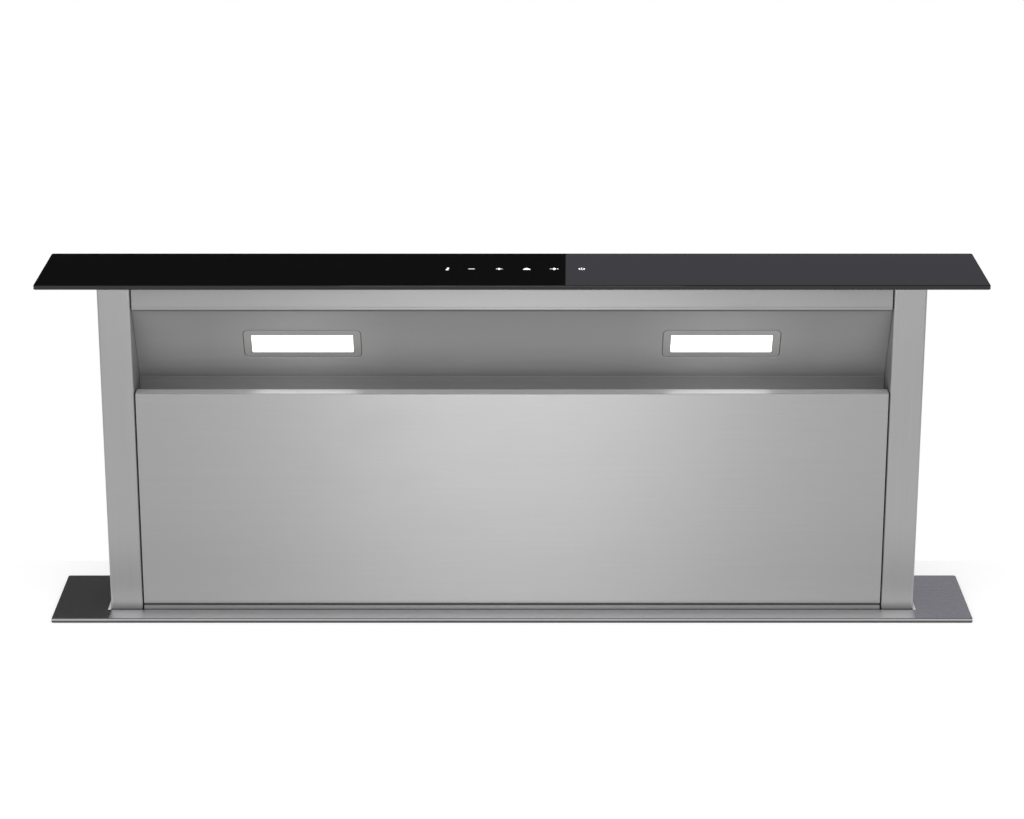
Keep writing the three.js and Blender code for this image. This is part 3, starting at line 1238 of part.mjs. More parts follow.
for (const [side, x] of [['left', -lampAt], ['right', lampAt]]) {
  add(`lamp_bezel_${side}`, lampBezel().applyMatrix4(lampMatrix(x)), 'bezel');
  add(`lamp_lens_${side}`, lampLens().applyMatrix4(lampMatrix(x)), 'lens');
}

for (let i = 0; i < FILTERS; i++) {
  const x = (i - (FILTERS - 1) / 2) * (filterLength + 2 * SEAT);
  add(`filter_frame_${i + 1}`, filterFrame().applyMatrix4(filterMatrix(x)), 'aluminium');
  add(`filter_pack_${i + 1}`, filterPack().applyMatrix4(filterMatrix(x)), 'aluminium');
}

add('housing_shell', housingShell(), 'galvanised');
add('housing_base', housingBase(), 'galvanised');
add('access_cover', accessCover(), 'galvanised');
add('blower_plate', blowerPlate(), 'galvanised');

addPair('guide_rail', guideRail(), 'zincPlated');
addPair('carriage', carriage(), 'zincPlated');
rollerHeights.forEach((z, i) => addPair(`roller_${['lower', 'upper'][i]}`, roller(z), 'nylon'));
addPair('idler_bracket', idlerBracket(), 'zincPlated');
addPair('idler_pulley', idlerPulley(), 'aluminium');
addPair('lift_belt', belt(), 'rubber');
add('sync_shaft', syncShaft(), 'zincPlated');
addPair('shaft_bearing', bearingBlock(), 'blackPlastic');
add('lift_gearbox', gearbox(), 'greyPlastic');
add('lift_motor', liftMotor(), 'zincPlated');

add('scroll_casing', scrollCasing(), 'blackPlastic');
add('impeller', impeller(), 'galvanised');
add('fan_motor', fanMotor(), 'zincPlated');
add('outlet_transition', transition(), 'blackPlastic');
add('outlet_spigot', spigot(), 'blackPlastic');
add('damper_pin', damperPin(), 'zincPlated');
add('damper_leaf_front', damperLeaf(-1), 'greyPlastic');
add('damper_leaf_rear', damperLeaf(1), 'greyPlastic');

add('control_box', controlBox(), 'greyPlastic');
add('control_box_lid', controlBoxLid(), 'greyPlastic');
add('cable_gland', cableGland(), 'blackPlastic');
addPair('worktop_clamp', worktopClamp(), 'zincPlated');
addPair('floor_bracket', floorBracket(), 'zincPlated');

export default part;
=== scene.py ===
"""Downdraft vent: materials, small parts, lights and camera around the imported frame."""
import math

import bpy
import bmesh
from mathutils import Matrix, Vector


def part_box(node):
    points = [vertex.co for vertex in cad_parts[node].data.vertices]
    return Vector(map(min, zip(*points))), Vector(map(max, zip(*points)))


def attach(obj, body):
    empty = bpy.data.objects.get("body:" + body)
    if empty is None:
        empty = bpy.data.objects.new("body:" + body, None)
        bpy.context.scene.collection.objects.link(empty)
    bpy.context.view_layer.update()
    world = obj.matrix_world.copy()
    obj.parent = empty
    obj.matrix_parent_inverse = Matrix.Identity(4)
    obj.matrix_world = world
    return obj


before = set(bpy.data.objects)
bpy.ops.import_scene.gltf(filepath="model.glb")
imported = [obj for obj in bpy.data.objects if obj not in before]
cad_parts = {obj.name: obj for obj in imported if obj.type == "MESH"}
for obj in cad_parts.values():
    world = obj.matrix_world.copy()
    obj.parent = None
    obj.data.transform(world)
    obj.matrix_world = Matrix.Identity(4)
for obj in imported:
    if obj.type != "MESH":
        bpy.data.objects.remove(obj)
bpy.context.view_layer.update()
scene = bpy.context.scene
MM = 0.001
SIDES = {"left": -1, "right": 1}

# ---------------------------------------------------------------- node helpers

NOISE_LOW, NOISE_HIGH = 0.3, 0.7  # a noise texture mostly stays between these
BEVEL_SAMPLES = 4
EDGE_FROM, EDGE_FULL = 0.995, 0.80  # cosines between the true and the rounded normal


class Shader:
    """A material's node tree, built by short calls that each return an output socket."""

    def __init__(self, name):
        self.material = bpy.data.materials.new(name)
        self.material.use_nodes = True
        self.tree = self.material.node_tree
        self.tree.nodes.clear()
        self.output = self.tree.nodes.new("ShaderNodeOutputMaterial")
        self.coords = self.tree.nodes.new("ShaderNodeTexCoord").outputs["Object"]

    def add(self, kind, inputs=None, **settings):
        node = self.tree.nodes.new(kind)
        for key, value in settings.items():
            setattr(node, key, value)
        for key, value in (inputs or {}).items():
            self.put(node.inputs[key], value)
        return node

    def put(self, socket, value):
        if isinstance(value, bpy.types.NodeSocket):
            self.tree.links.new(value, socket)
        else:
            socket.default_value = value

    def math(self, operation, a, b=0.0):
        return self.add("ShaderNodeMath", {0: a, 1: b}, operation=operation).outputs[0]

    def vector_math(self, operation, inputs, output=0):
        return self.add("ShaderNodeVectorMath", inputs, operation=operation).outputs[output]

    def place(self):
        """The x, y and z sockets of the shaded point."""
        return self.add("ShaderNodeSeparateXYZ", {0: self.coords}).outputs

    def stretched(self, scale, offset=(0, 0, 0)):
        node = self.add("ShaderNodeMapping", {"Vector": self.coords, "Scale": scale, "Location": offset})
        return node.outputs[0]

    def noise(self, scale, detail=3.0, roughness=0.55, vector=None, distortion=0.0):
        node = self.add("ShaderNodeTexNoise", {
            "Vector": vector or self.coords, "Scale": scale, "Detail": detail,
            "Roughness": roughness, "Distortion": distortion,
        })
        return node.outputs["Fac"]

    def spread(self, value, low, high, out_low=0.0, out_high=1.0):
        """`value` taken from low..high to out_low..out_high, and held there outside."""
        node = self.add("ShaderNodeMapRange", {
            "Value": value, "From Min": low, "From Max": high, "To Min": out_low, "To Max": out_high,
        })
        return node.outputs[0]

    def vary(self, noise, low=0.0, high=1.0):
        """A noise spread over low..high."""
        return self.spread(noise, NOISE_LOW, NOISE_HIGH, low, high)

    def mix(self, factor, a, b):
        node = self.add("ShaderNodeMix", data_type="RGBA")
        self.put(node.inputs["Factor"], factor)
        self.put(node.inputs[6], a)
        self.put(node.inputs[7], b)
        return node.outputs[2]

    def mix_part(self, mask, amount, a, b):
        """`a`, with `amount` of `b` mixed in where the mask is 1."""
        return self.mix(self.math("MULTIPLY", mask, amount), a, b)

    def plus_part(self, base, value, amount):
        """`base` and `amount` times `value`."""
        return self.math("ADD", base, self.math("MULTIPLY", value, amount))

    def bump(self, height, distance, strength, normal=None):
        inputs = {"Height": height, "Distance": distance, "Strength": strength}
        if normal is not None:
            inputs["Normal"] = normal
        return self.add("ShaderNodeBump", inputs).outputs[0]

    def scaled(self, base, factor):
        return self.vector_math("SCALE", {0: base, "Scale": factor})

    def shaded(self, base, painted_shading):
        """Painted light and shade: `base` scaled by height, each step (from z, to z, factor below, factor
        above).
        """
        height = self.place()[2]
        for z0, z1, below, above in painted_shading:
            base = self.scaled(base, self.spread(height, z0, z1, below, above))
        return base

    def rounded(self, radius):
        """The normal with the sharp edges rounded."""
        return self.add("ShaderNodeBevel", {"Radius": radius}, samples=BEVEL_SAMPLES).outputs[0]

    def edges(self, radius):
        """1 at sharp edges and 0 elsewhere, from how far a rounded normal leans off the true one."""
        rounded = self.rounded(radius)
        true = self.add("ShaderNodeNewGeometry").outputs["Normal"]
        dot = self.vector_math("DOT_PRODUCT", {0: rounded, 1: true}, "Value")
        return self.spread(dot, EDGE_FROM, EDGE_FULL), rounded

    def principled(self, **inputs):
        node = self.add("ShaderNodeBsdfPrincipled", {k.replace("_", " "): v for k, v in inputs.items()})
        self.tree.links.new(node.outputs[0], self.output.inputs[0])
        return self.material


def grey(value):
    return (value, value, value, 1.0)


def tone(r, g, b):
    """A linear colour from the 0-255 values that it is seen as."""
    def linear(c):
        c /= 255
        return c / 12.92 if c <= 0.04045 else ((c + 0.055) / 1.055) ** 2.4
    return (linear(r), linear(g), linear(b), 1.0)


def dimmed(colour, factor):
    """`colour` times `factor`, opaque."""
    return tuple(c * factor for c in colour[:3]) + (1.0,)


# ---------------------------------------------------------------- materials

# The brush's noise scale along x, y and z, and the direction that it runs in
BRUSHED_UP = ((900.0, 900.0, 12.0), (0, 0, 1))
BRUSHED_ACROSS = ((12.0, 900.0, 900.0), (1, 0, 0))

# Painted lamp glow: steel near the lamps is lit up by this factor, fully up to NEAR and not at all from FAR
# on
LAMP_PAINTED_GLOW = 1.19
LAMP_LIGHT_NEAR, LAMP_LIGHT_FAR = 15 * MM, 90 * MM


def brushed_steel(name, low, high, roughness, brushed, anisotropic=0.75, wear=0.2, painted_shading=(), lamps=()):
    """Satin steel with a fine brush; painted shading by height, and painted lamp glow around each x in
    `lamps`.
    """
    s = Shader(name)
    grain, runs = brushed
    streaks = s.noise(1.0, 2.0, 0.6, s.stretched(grain))
    coarse = s.noise(1.0, 2.0, 0.5, s.stretched([g * 0.3 for g in grain], (3.1, 1.7, 0.4)))
    clouds = s.noise(2.6, 2.0, 0.5)
    smudges = s.spread(s.noise(9.0, 4.0, 0.6, s.stretched((1.0, 1.0, 2.4)), 0.8), 0.52, 0.78)
    brush = s.plus_part(s.math("MULTIPLY", streaks, 0.7), coarse, 0.3)
    shade = s.plus_part(s.math("MULTIPLY", brush, 0.6), clouds, 0.4)
    edge, rounded = s.edges(0.8 * MM)
    base = s.mix(s.spread(shade, 0.38, 0.62), grey(low), grey(high))
    # edge wear, then painted light and shade by height
    base = s.shaded(s.mix_part(edge, wear, base, grey(0.9)), painted_shading)
    # painted lamp glow on the steel near each lamp
    for x in lamps:
        off_lamp = s.math("ABSOLUTE", s.math("SUBTRACT", s.place()[0], x))
        base = s.scaled(base, s.spread(off_lamp, LAMP_LIGHT_NEAR, LAMP_LIGHT_FAR, LAMP_PAINTED_GLOW, 1.0))
    rough = s.plus_part(s.vary(brush, roughness - 0.03, roughness + 0.03), smudges, 0.04)
    normal = s.add("ShaderNodeNewGeometry").outputs["Normal"]
    tangent = s.vector_math("CROSS_PRODUCT", {0: normal, 1: runs})
    return s.principled(Base_Color=base, Metallic=1.0, Roughness=rough, Anisotropic=anisotropic,
                        Tangent=tangent, Normal=s.bump(brush, 0.01 * MM, 0.25, rounded))


DECK_EDGE_PAINTED_SHADING = [
    (4.55 * MM, 4.68 * MM, 0.13, 1.0),  # painted shade below the top face's rounding
    (3.6 * MM, 4.0 * MM, 5.0, 1.0),  # a painted highlight along the middle of the fold
    (2.4 * MM, 2.9 * MM, 0.18, 1.0),  # and painted shade again at its foot
]
DULL_STRIP_ROUGHNESS = 0.15
DULL_STRIP_BLEND = 1 * MM


def deck_steel(name):
    """Satin-polished steel plate with hair scratches and a thin film, duller in front of the column."""
    s = Shader(name)
    lines = s.noise(1.0, 2.0, 0.5, s.stretched((6, 1600, 1600)))
    film = s.noise(4.0, 2.0, 0.5, distortion=0.4)
    base = s.mix(s.vary(lines), grey(0.82), tone(236, 235, 239))
    # painted highlight and shade along the plate's front edge
    base = s.shaded(base, DECK_EDGE_PAINTED_SHADING)
    rough = s.plus_part(s.vary(film, 0.255, 0.27), lines, 0.01)
    x, y = s.place()[:2]
    upright_low, upright_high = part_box("upright_right")
    before = s.spread(y, upright_low[1] - DULL_STRIP_BLEND, upright_low[1], 1.0, 0.0)
    beside = s.spread(s.math("ABSOLUTE", x), upright_high[0] - DULL_STRIP_BLEND, upright_high[0], 1.0, 0.0)
    rough = s.plus_part(rough, s.math("MULTIPLY", before, beside), DULL_STRIP_ROUGHNESS)
    return s.principled(Base_Color=base, Metallic=s.vary(film, 0.973, 0.969), Roughness=rough,
                        Normal=s.rounded(0.3 * MM))


GLASS_BEVEL_FACING = 0.707  # z of the normal on the ground bevel


def black_glass(name):
    """Back-painted glass: a clear top over black, ground edges, dust and faint finger marks in the gloss."""
    s = Shader(name)
    edge, rounded = s.edges(0.6 * MM)
    marks = s.spread(s.noise(22.0, 5.0, 0.6, distortion=1.6), 0.56, 0.74)
    dust = s.spread(s.noise(1400.0, 1.0, 0.5), 0.74, 0.80)
    true_normal = s.add("ShaderNodeNewGeometry").outputs["True Normal"]
    facing = s.add("ShaderNodeSeparateXYZ", {0: true_normal}).outputs[2]
    off_bevel = s.math("ABSOLUTE", s.math("SUBTRACT", facing, GLASS_BEVEL_FACING))
    ground = s.spread(off_bevel, 0.15, 0.25, 1.0, 0.0)
    base = s.mix_part(edge, 0.25, tone(2, 2, 3), tone(60, 66, 66))
    base = s.mix_part(dust, 0.01, base, grey(0.5))
    base = s.mix(ground, base, tone(20, 20, 21))
    rough = s.plus_part(s.vary(s.noise(5.0), 0.010, 0.022), marks, 0.02)
    rough = s.plus_part(rough, ground, 0.5)
    return s.principled(Base_Color=base, Roughness=rough, IOR=1.52, Normal=rounded,
                        Specular_IOR_Level=s.spread(ground, 0.0, 1.0, 0.5, 0.02))


def plastic(name, colour, roughness):
    """Moulded plastic with a fine etched grain, flow marks and rubbed edges."""
    s = Shader(name)
    texture = s.noise(900.0, 2.0, 0.6)
    flow = s.noise(7.0, 3.0, 0.5, distortion=0.6)
    edge, rounded = s.edges(0.9 * MM)
    pale = tuple(min(1.0, c * 1.35 + 0.02) for c in colour[:3]) + (1.0,)
    base = s.mix(s.vary(flow), colour, dimmed(colour, 0.86))
    base = s.mix_part(edge, 0.6, base, pale)
    rough = s.vary(texture, roughness - 0.08, roughness + 0.08)
    return s.principled(Base_Color=base, Roughness=rough, Normal=s.bump(texture, 0.06 * MM, 0.6, rounded))


ZINC_COATING = (0.93, 0.97, 1.0, 1.0)


def galvanised(name):
    """Zinc-coated sheet: spangle cells that each shine a little differently, dull bloom and scuffs."""
    s = Shader(name)
    cells = s.add("ShaderNodeTexVoronoi", {"Vector": s.coords, "Scale": 95.0}, feature="F1")
    cell = s.add("ShaderNodeSeparateColor", {0: cells.outputs["Color"]}).outputs[0]
    bloom = s.noise(6.0, 4.0, 0.6, distortion=0.7)
    scuffs = s.spread(s.noise(1.0, 3.0, 0.6, s.stretched((14, 14, 260))), 0.60, 0.72)
    edge, rounded = s.edges(0.8 * MM)
    shine = s.plus_part(s.math("MULTIPLY", cell, 0.5), bloom, 0.5)
    base = s.mix(shine, dimmed(ZINC_COATING, 0.46), dimmed(ZINC_COATING, 0.62))
    base = s.mix_part(edge, 0.4, base, grey(0.8))
    rough = s.plus_part(s.spread(cell, 0.0, 1.0, 0.46, 0.58), scuffs, 0.06)
    return s.principled(Base_Color=base, Metallic=1.0, Roughness=rough,
                        Normal=s.bump(cell, 0.02 * MM, 0.1, rounded))


def zinc(name):
    """Plated pressed and turned parts: slightly yellow and blue, with drawn lines."""
    s = Shader(name)
    drawn = s.noise(1.0, 3.0, 0.6, s.stretched((500, 500, 60)))
    bloom = s.noise(18.0, 3.0, 0.6, distortion=0.9)
    edge, rounded = s.edges(0.6 * MM)
    base = s.mix(s.spread(bloom, 0.35, 0.65), (0.50, 0.52, 0.55, 1.0), (0.59, 0.57, 0.52, 1.0))
    base = s.mix_part(edge, 0.5, base, grey(0.72))
    return s.principled(Base_Color=base, Metallic=1.0, Roughness=s.vary(drawn, 0.30, 0.44),
                        Normal=s.bump(drawn, 0.02 * MM, 0.4, rounded))


def mill_aluminium(name):
    """Rolled aluminium with fine lines along x, soft clouds and bright edges."""
    s = Shader(name)
    rolled = s.noise(1.0, 3.0, 0.6, s.stretched((40, 700, 700)))
    clouds = s.noise(5.0, 3.0, 0.5)
    edge, rounded = s.edges(0.6 * MM)
    base = s.mix(s.vary(clouds), grey(0.62), (0.74, 0.745, 0.75, 1.0))
    base = s.mix_part(edge, 0.4, base, grey(0.9))
    return s.principled(Base_Color=base, Metallic=1.0, Roughness=s.vary(rolled, 0.3, 0.44),
                        Normal=s.bump(rolled, 0.03 * MM, 0.4, rounded))


MESH_PER_METRE = 420.0
MESH_SLANT = 0.6


def filter_mesh(name):
    """Expanded aluminium mesh: diamonds with dark gaps, in the pleats of the filter."""
    s = Shader(name)
    x, _, z = s.place()
    across = s.math("MULTIPLY", x, MESH_PER_METRE)
    slanted = s.math("MULTIPLY", z, MESH_PER_METRE * MESH_SLANT)
    up, down = (s.math("PINGPONG", s.math(way, across, slanted), 0.5) for way in ("ADD", "SUBTRACT"))
    wire = s.spread(s.math("MINIMUM", up, down), 0.10, 0.20, 1.0, 0.0)
    clouds = s.noise(30.0, 3.0, 0.6)
    base = s.mix(wire, grey(0.10), s.mix(clouds, grey(0.55), grey(0.75)))
    return s.principled(Base_Color=base, Metallic=s.spread(wire, 0.0, 1.0, 0.4, 1.0),
                        Roughness=s.vary(clouds, 0.30, 0.45), Normal=s.bump(wire, 0.3 * MM, 0.8))


def rubber(name):
    """Black rubber with a fine grain, a grey bloom and rubbed edges."""
    s = Shader(name)
    grain = s.noise(1100.0, 2.0, 0.6)
    bloom = s.noise(16.0, 4.0, 0.6, distortion=0.8)
    edge, rounded = s.edges(0.6 * MM)
    base = s.mix(s.spread(bloom, 0.4, 0.7), tone(30, 30, 31), tone(46, 46, 47))
    base = s.mix_part(edge, 0.4, base, tone(72, 72, 73))
    return s.principled(Base_Color=base, Roughness=s.vary(grain, 0.62, 0.85),
                        Normal=s.bump(grain, 0.05 * MM, 0.6, rounded))


def felt(name):
    """White needled felt: short fibres every way, a soft uneven nap."""
    s = Shader(name)
    fibres = s.noise(1500.0, 4.0, 0.75, distortion=2.0)
    tufts = s.noise(160.0, 3.0, 0.6)
    base = s.mix(s.vary(fibres), tone(232, 231, 228), tone(250, 250, 248))
    return s.principled(Base_Color=base, Roughness=s.vary(tufts, 0.86, 0.97),
                        Normal=s.bump(fibres, 0.1 * MM, 0.6))


TRACKS_PER_METRE = 320.0


def circuit_board(name):
    """Green lacquer over copper tracks, drawn as lines along x that start and end in a noise."""
    s = Shader(name)
    across = s.math("PINGPONG", s.math("MULTIPLY", s.place()[1], TRACKS_PER_METRE), 0.5)
    field = s.noise(60.0, 0.0, 0.5, s.stretched((1.0, 0.25, 1.0)))
    track = s.math("MULTIPLY", s.spread(across, 0.16, 0.22, 1.0, 0.0), s.spread(field, 0.50, 0.52))
    base = s.mix(track, tone(24, 74, 44), tone(46, 112, 66))
    return s.principled(Base_Color=base, Roughness=s.vary(s.noise(700.0), 0.30, 0.42),
                        Normal=s.bump(track, 0.03 * MM, 0.5))


def lit(name, strength, tint, haze_scale, base, roughness):
    """A cover lit from behind, with a faint haze between `tint` and white."""
    s = Shader(name)
    colour = s.mix(s.noise(haze_scale, 2.0, 0.5), tint, grey(1.0))
    return s.principled(Base_Color=grey(base), Roughness=roughness, Emission_Color=colour,
                        Emission_Strength=strength)


# Painted light and shade on each steel, by height: (from z, to z, factor below, factor above)
panel_low, panel_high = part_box("front_panel")
PANEL_BEND = 2.1 * MM
PANEL_PAINTED_SHADING = [
    (panel_low[2], panel_low[2] + 2 * PANEL_BEND, 0.75, 1.0),  # painted shade at the foot
    (panel_high[2] - 0.3 * MM, panel_high[2] - 0.1 * MM, 1.0, 2.2),  # a painted highlight on the hem's top
]
FOOT_PAINTED_SHADE = [(5.0 * MM, 5.6 * MM, 0.45, 1.0)]  # painted shade along the strip's lower edge
UPRIGHT_PAINTED_SHADING = [
    (60 * MM, 320 * MM, 1.0, 0.78),  # painted shade toward the top
    (5 * MM, 13 * MM, 0.42, 1.0),  # and painted shade at the foot
]
CREASE = 231 * MM  # the fold between the lamp panel's slope and its lower wall
CREASE_SHADOW = CREASE - 0.8 * MM
RECESS_PAINTED_SHADING = [
    (240 * MM, 306 * MM, 1.38, 1.02),  # painted shading: the slope darkens upward
    (CREASE, 243 * MM, 0.89, 1.0),  # a soft painted shadow above the crease
    (CREASE_SHADOW, CREASE, 0.66, 1.0),  # a sharp painted shadow just below it
    (219 * MM, CREASE_SHADOW, 2.03, 1.0),  # painted light: the wall lightens downward
    (243 * MM, 262 * MM, 1.10, 1.0),  # painted light on the slope's foot
]
lamp_places = [sum(corner[0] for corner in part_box(f"lamp_lens_{side}")) / 2 for side in SIDES]

panel_steel = brushed_steel("panel_steel", 0.345, 0.365, 0.42, BRUSHED_ACROSS, wear=0.05, painted_shading=PANEL_PAINTED_SHADING)
rail_steel = brushed_steel("rail_steel", 0.358, 0.378, 0.50, BRUSHED_ACROSS)
foot_steel = brushed_steel("foot_steel", 0.21, 0.24, 0.50, BRUSHED_ACROSS, wear=0.0, painted_shading=FOOT_PAINTED_SHADE)
upright_steel = brushed_steel("upright_steel", 0.370, 0.395, 0.42, BRUSHED_UP, painted_shading=UPRIGHT_PAINTED_SHADING)
recess_steel = brushed_steel("recess_steel", 0.27, 0.29, 0.66, BRUSHED_ACROSS, anisotropic=0.4,
                             painted_shading=RECESS_PAINTED_SHADING, lamps=lamp_places)
deck_finish = deck_steel("deck_steel")
glass_finish = black_glass("black_glass")
sheet_finish = galvanised("galvanised_sheet")
zinc_finish = zinc("zinc_plate")
aluminium_finish = mill_aluminium("mill_aluminium")
mesh_finish = filter_mesh("filter_mesh")
rubber_finish = rubber("rubber")
board_finish = circuit_board("circuit_board")
black_finish = plastic("black_plastic", tone(40, 41, 43), 0.48)
grey_finish = plastic("grey_plastic", tone(122, 125, 128), 0.50)
nylon_finish = plastic("nylon", tone(226, 223, 212), 0.42)
bezel_finish = plastic("lamp_bezel", tone(156, 156, 155), 0.42)
lens_finish = lit("lamp_lens", 2.0, (1.0, 0.99, 0.97, 1.0), 40.0, 0.85, 0.35)
icon_finish = lit("touch_symbol", 1.6, (0.93, 0.97, 1.0, 1.0), 300.0, 0.6, 0.3)
screw_finish = zinc("screw_zinc")
felt_finish = felt("white_felt")
# dark grey for the strip under the rail: a painted shadow in the gap there
shadow_strip_finish = plastic("shadow_strip_grey", tone(100, 100, 101), 0.85)

# The start of a node's name gives its finish
FINISHES = {
    "deck_plate": deck_finish, "glass_top": glass_finish,
    "front_panel": panel_steel, "bottom_rail": foot_steel, "top_rail": rail_steel,
    "back_panel": rail_steel, "lamp_panel": recess_steel, "upright": upright_steel,
    "glass_carrier": sheet_finish, "deck_frame": sheet_finish, "housing": sheet_finish,
    "access_cover": sheet_finish, "blower_plate": sheet_finish, "impeller": sheet_finish,
    "touch_board": board_finish, "lamp_bezel": bezel_finish, "lamp_lens": lens_finish,
    "filter_frame": aluminium_finish, "filter_pack": mesh_finish, "idler_pulley": aluminium_finish,
    "deck_gasket": rubber_finish, "lift_belt": rubber_finish, "roller": nylon_finish,
    "guide_rail": zinc_finish, "carriage": zinc_finish, "idler_bracket": zinc_finish,
    "sync_shaft": zinc_finish, "lift_motor": zinc_finish, "fan_motor": zinc_finish,
    "damper_pin": zinc_finish, "worktop_clamp": zinc_finish, "floor_bracket": zinc_finish,
    "shaft_bearing": black_finish, "scroll_casing": black_finish, "outlet": black_finish,
    "cable_gland": black_finish, "lift_gearbox": grey_finish, "damper_leaf": grey_finish,
    "control_box": grey_finish,
}


def finish_for(node):
    prefixes = [prefix for prefix in FINISHES if node.startswith(prefix)]
    return FINISHES[max(prefixes, key=len)]


for node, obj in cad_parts.items():
    obj.data.materials.clear()
    obj.data.materials.append(finish_for(node))

# ---------------------------------------------------------------- small parts

FRONT, BACK, TOP = (0, -1, 0), (0, 1, 0), (0, 0, 1)
SHARP_ANGLE = math.radians(35)
SUNK = 0.3 * MM  # how far a head goes into its sheet


def piece(name, mesh, material, body):
    obj = bpy.data.objects.new(name, mesh)
    scene.collection.objects.link(obj)
    mesh.materials.append(material)
    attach(obj, body)


def finished_mesh(bm, name):
    mesh = bpy.data.meshes.new(name)
    bm.to_mesh(mesh)
    bm.free()
    return mesh


def revolved(profile, axis, at, segments):
    """A closed solid of (radius, height) pairs turned about `axis` at `at`; both ends lie on the axis."""
    bm = bmesh.new()
    rings = []
    for radius, height in profile:
        if radius == 0:
            rings.append([bm.verts.new((0, 0, height))])
        else:
            angles = [2 * math.pi * i / segments for i in range(segments)]
            rings.append([bm.verts.new((radius * math.cos(a), radius * math.sin(a), height)) for a in angles])
    for low, high in zip(rings, rings[1:]):
        for i in range(segments):
            a, b = low[i % len(low)], low[(i + 1) % len(low)]
            c, d = high[(i + 1) % len(high)], high[i % len(high)]
            corners = [v for n, v in enumerate((a, b, c, d)) if v not in (a, b, c, d)[:n]]
            bm.faces.new(corners)
    bmesh.ops.recalc_face_normals(bm, faces=bm.faces)
    turn = Vector(TOP).rotation_difference(Vector(axis)).to_matrix().to_4x4()
    bmesh.ops.transform(bm, matrix=Matrix.Translation(at) @ turn, verts=bm.verts)
    for face in bm.faces:
        face.smooth = True
    return finished_mesh(bm, "revolved")


def block_mesh(name, low, high):
    bm = bmesh.new()
    cube = bmesh.ops.create_cube(bm, size=1.0)["verts"]
    middle = [(a + b) / 2 for a, b in zip(low, high)]
    size = [b - a for a, b in zip(low, high)]
    bmesh.ops.transform(bm, verts=cube, matrix=Matrix.Translation(middle) @ Matrix.Diagonal((*size, 1)))
    return finished_mesh(bm, name)


def screw_mesh(at, axis, radius=3.4 * MM, height=2.0 * MM):
    """A pan head with a socket."""
    r, h = radius, height
    profile = [(0, -SUNK), (r, -SUNK), (r, h * 0.35), (r * 0.86, h * 0.72), (r * 0.58, h * 0.95),
               (r * 0.42, h * 0.95), (r * 0.36, h * 0.4), (0, h * 0.4)]
    return revolved(profile, axis, at, 16)


def rivet_mesh(at, axis, radius=3.0 * MM, height=1.3 * MM):
    """A low domed head."""
    r, h = radius, height
    profile = [(0, -SUNK), (r, -SUNK), (r, h * 0.3), (r * 0.82, h * 0.75), (r * 0.45, h), (0, h)]
    return revolved(profile, axis, at, 14)


def heads(name, body, places, axis, make=screw_mesh, **size):
    """One object that holds the heads of several screws or rivets."""
    bm = bmesh.new()
    for at in places:
        mesh = make(at, axis, **size)
        bm.from_mesh(mesh)
        bpy.data.meshes.remove(mesh)
    joined = finished_mesh(bm, name)
    joined.set_sharp_from_angle(angle=SHARP_ANGLE)
    piece(name, joined, screw_finish, body)


def evenly(count, first, last):
    return [first + (last - first) * i / (count - 1) for i in range(count)]


def grid(xs, y, zs):
    return [(x, y, z) for x in xs for z in zs]


def inside(node, axis, inset, far_inset=None):
    """The two ends of a node's box along one axis (0, 1 or 2), each moved inward."""
    low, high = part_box(node)
    return low[axis] + inset, high[axis] - (inset if far_inset is None else far_inset)


# Screws of the two covers, along their ends
sheet_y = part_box("control_box")[1][1] + 0.3 * MM
cover_ends = inside("access_cover", 0, 9 * MM)
for name, cover in (("cover_screws_upper", "access_cover"), ("cover_screws_lower", "blower_plate")):
    heads(name, "housing", grid(cover_ends, sheet_y, evenly(3, *inside(cover, 2, 14 * MM))), FRONT)

# Rivets through the housing's back into the base's lip and the deck frame's skirt, and through its sides
BRACKET_SHEET = 2.3 * MM
shell_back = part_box("deck_frame")[1][1] + 1.3 * MM
walls = inside("housing_shell", 0, 0)
rivet_rows = inside("housing_shell", 2, 8 * MM, 10 * MM)
rivet_columns = evenly(7, *inside("housing_shell", 0, 30 * MM))
heads("housing_rivets_back", "housing", grid(rivet_columns, shell_back, rivet_rows), BACK, rivet_mesh)
for (name, side), wall in zip(SIDES.items(), walls):
    leg = wall + side * BRACKET_SHEET
    bracket_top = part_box(f"floor_bracket_{name}")[1][2]
    clamp_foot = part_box(f"worktop_clamp_{name}")[0][2]
    for group, places in (
        ("housing_rivets", [(wall, y, rivet_rows[1]) for y in (-24 * MM, 24 * MM)]),
        ("floor_bracket_rivets", [(leg, y, bracket_top - 16 * MM) for y in (-14 * MM, 14 * MM)]),
        ("clamp_rivets", [(leg, 0, clamp_foot + up) for up in (9 * MM, 25 * MM)]),
    ):
        heads(f"{group}_{name}", "housing", places, (side, 0, 0), rivet_mesh)

# Screws that hold the back panel's edges
back_panel_y, back_panel_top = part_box("back_panel")[1][1:]
heads("back_panel_screws", "column",
      grid(inside("back_panel", 0, 7 * MM), back_panel_y, evenly(4, 24 * MM, back_panel_top - 22 * MM)), BACK,
      radius=2.6 * MM, height=1.4 * MM)

# Blower: screws round the casing's flange, which follows the spiral
FAN_X, FAN_Z = -60 * MM, -516 * MM
SPIRAL_START, SPIRAL_GROWTH = 84 * MM, 46 * MM
SPIRAL_FROM, SPIRAL_TO = -32, 270  # degrees
FLANGE_MIDDLE = 4.5 * MM
casing_low, casing_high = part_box("scroll_casing")


def round_fan(radius, y, degrees):
    angle = math.radians(degrees)
    return (FAN_X + radius * math.cos(angle), y, FAN_Z + radius * math.sin(angle))


def flange_radius(degrees):
    return SPIRAL_START + SPIRAL_GROWTH * (degrees - SPIRAL_FROM) / (SPIRAL_TO - SPIRAL_FROM) + FLANGE_MIDDLE


heads("casing_screws", "housing",
      [round_fan(flange_radius(degrees), casing_high[1] - 1.8 * MM, degrees)
       for degrees in (0, 36, 72, 108, 144, 180, 216, 250)], FRONT, radius=2.8 * MM, height=1.8 * MM)

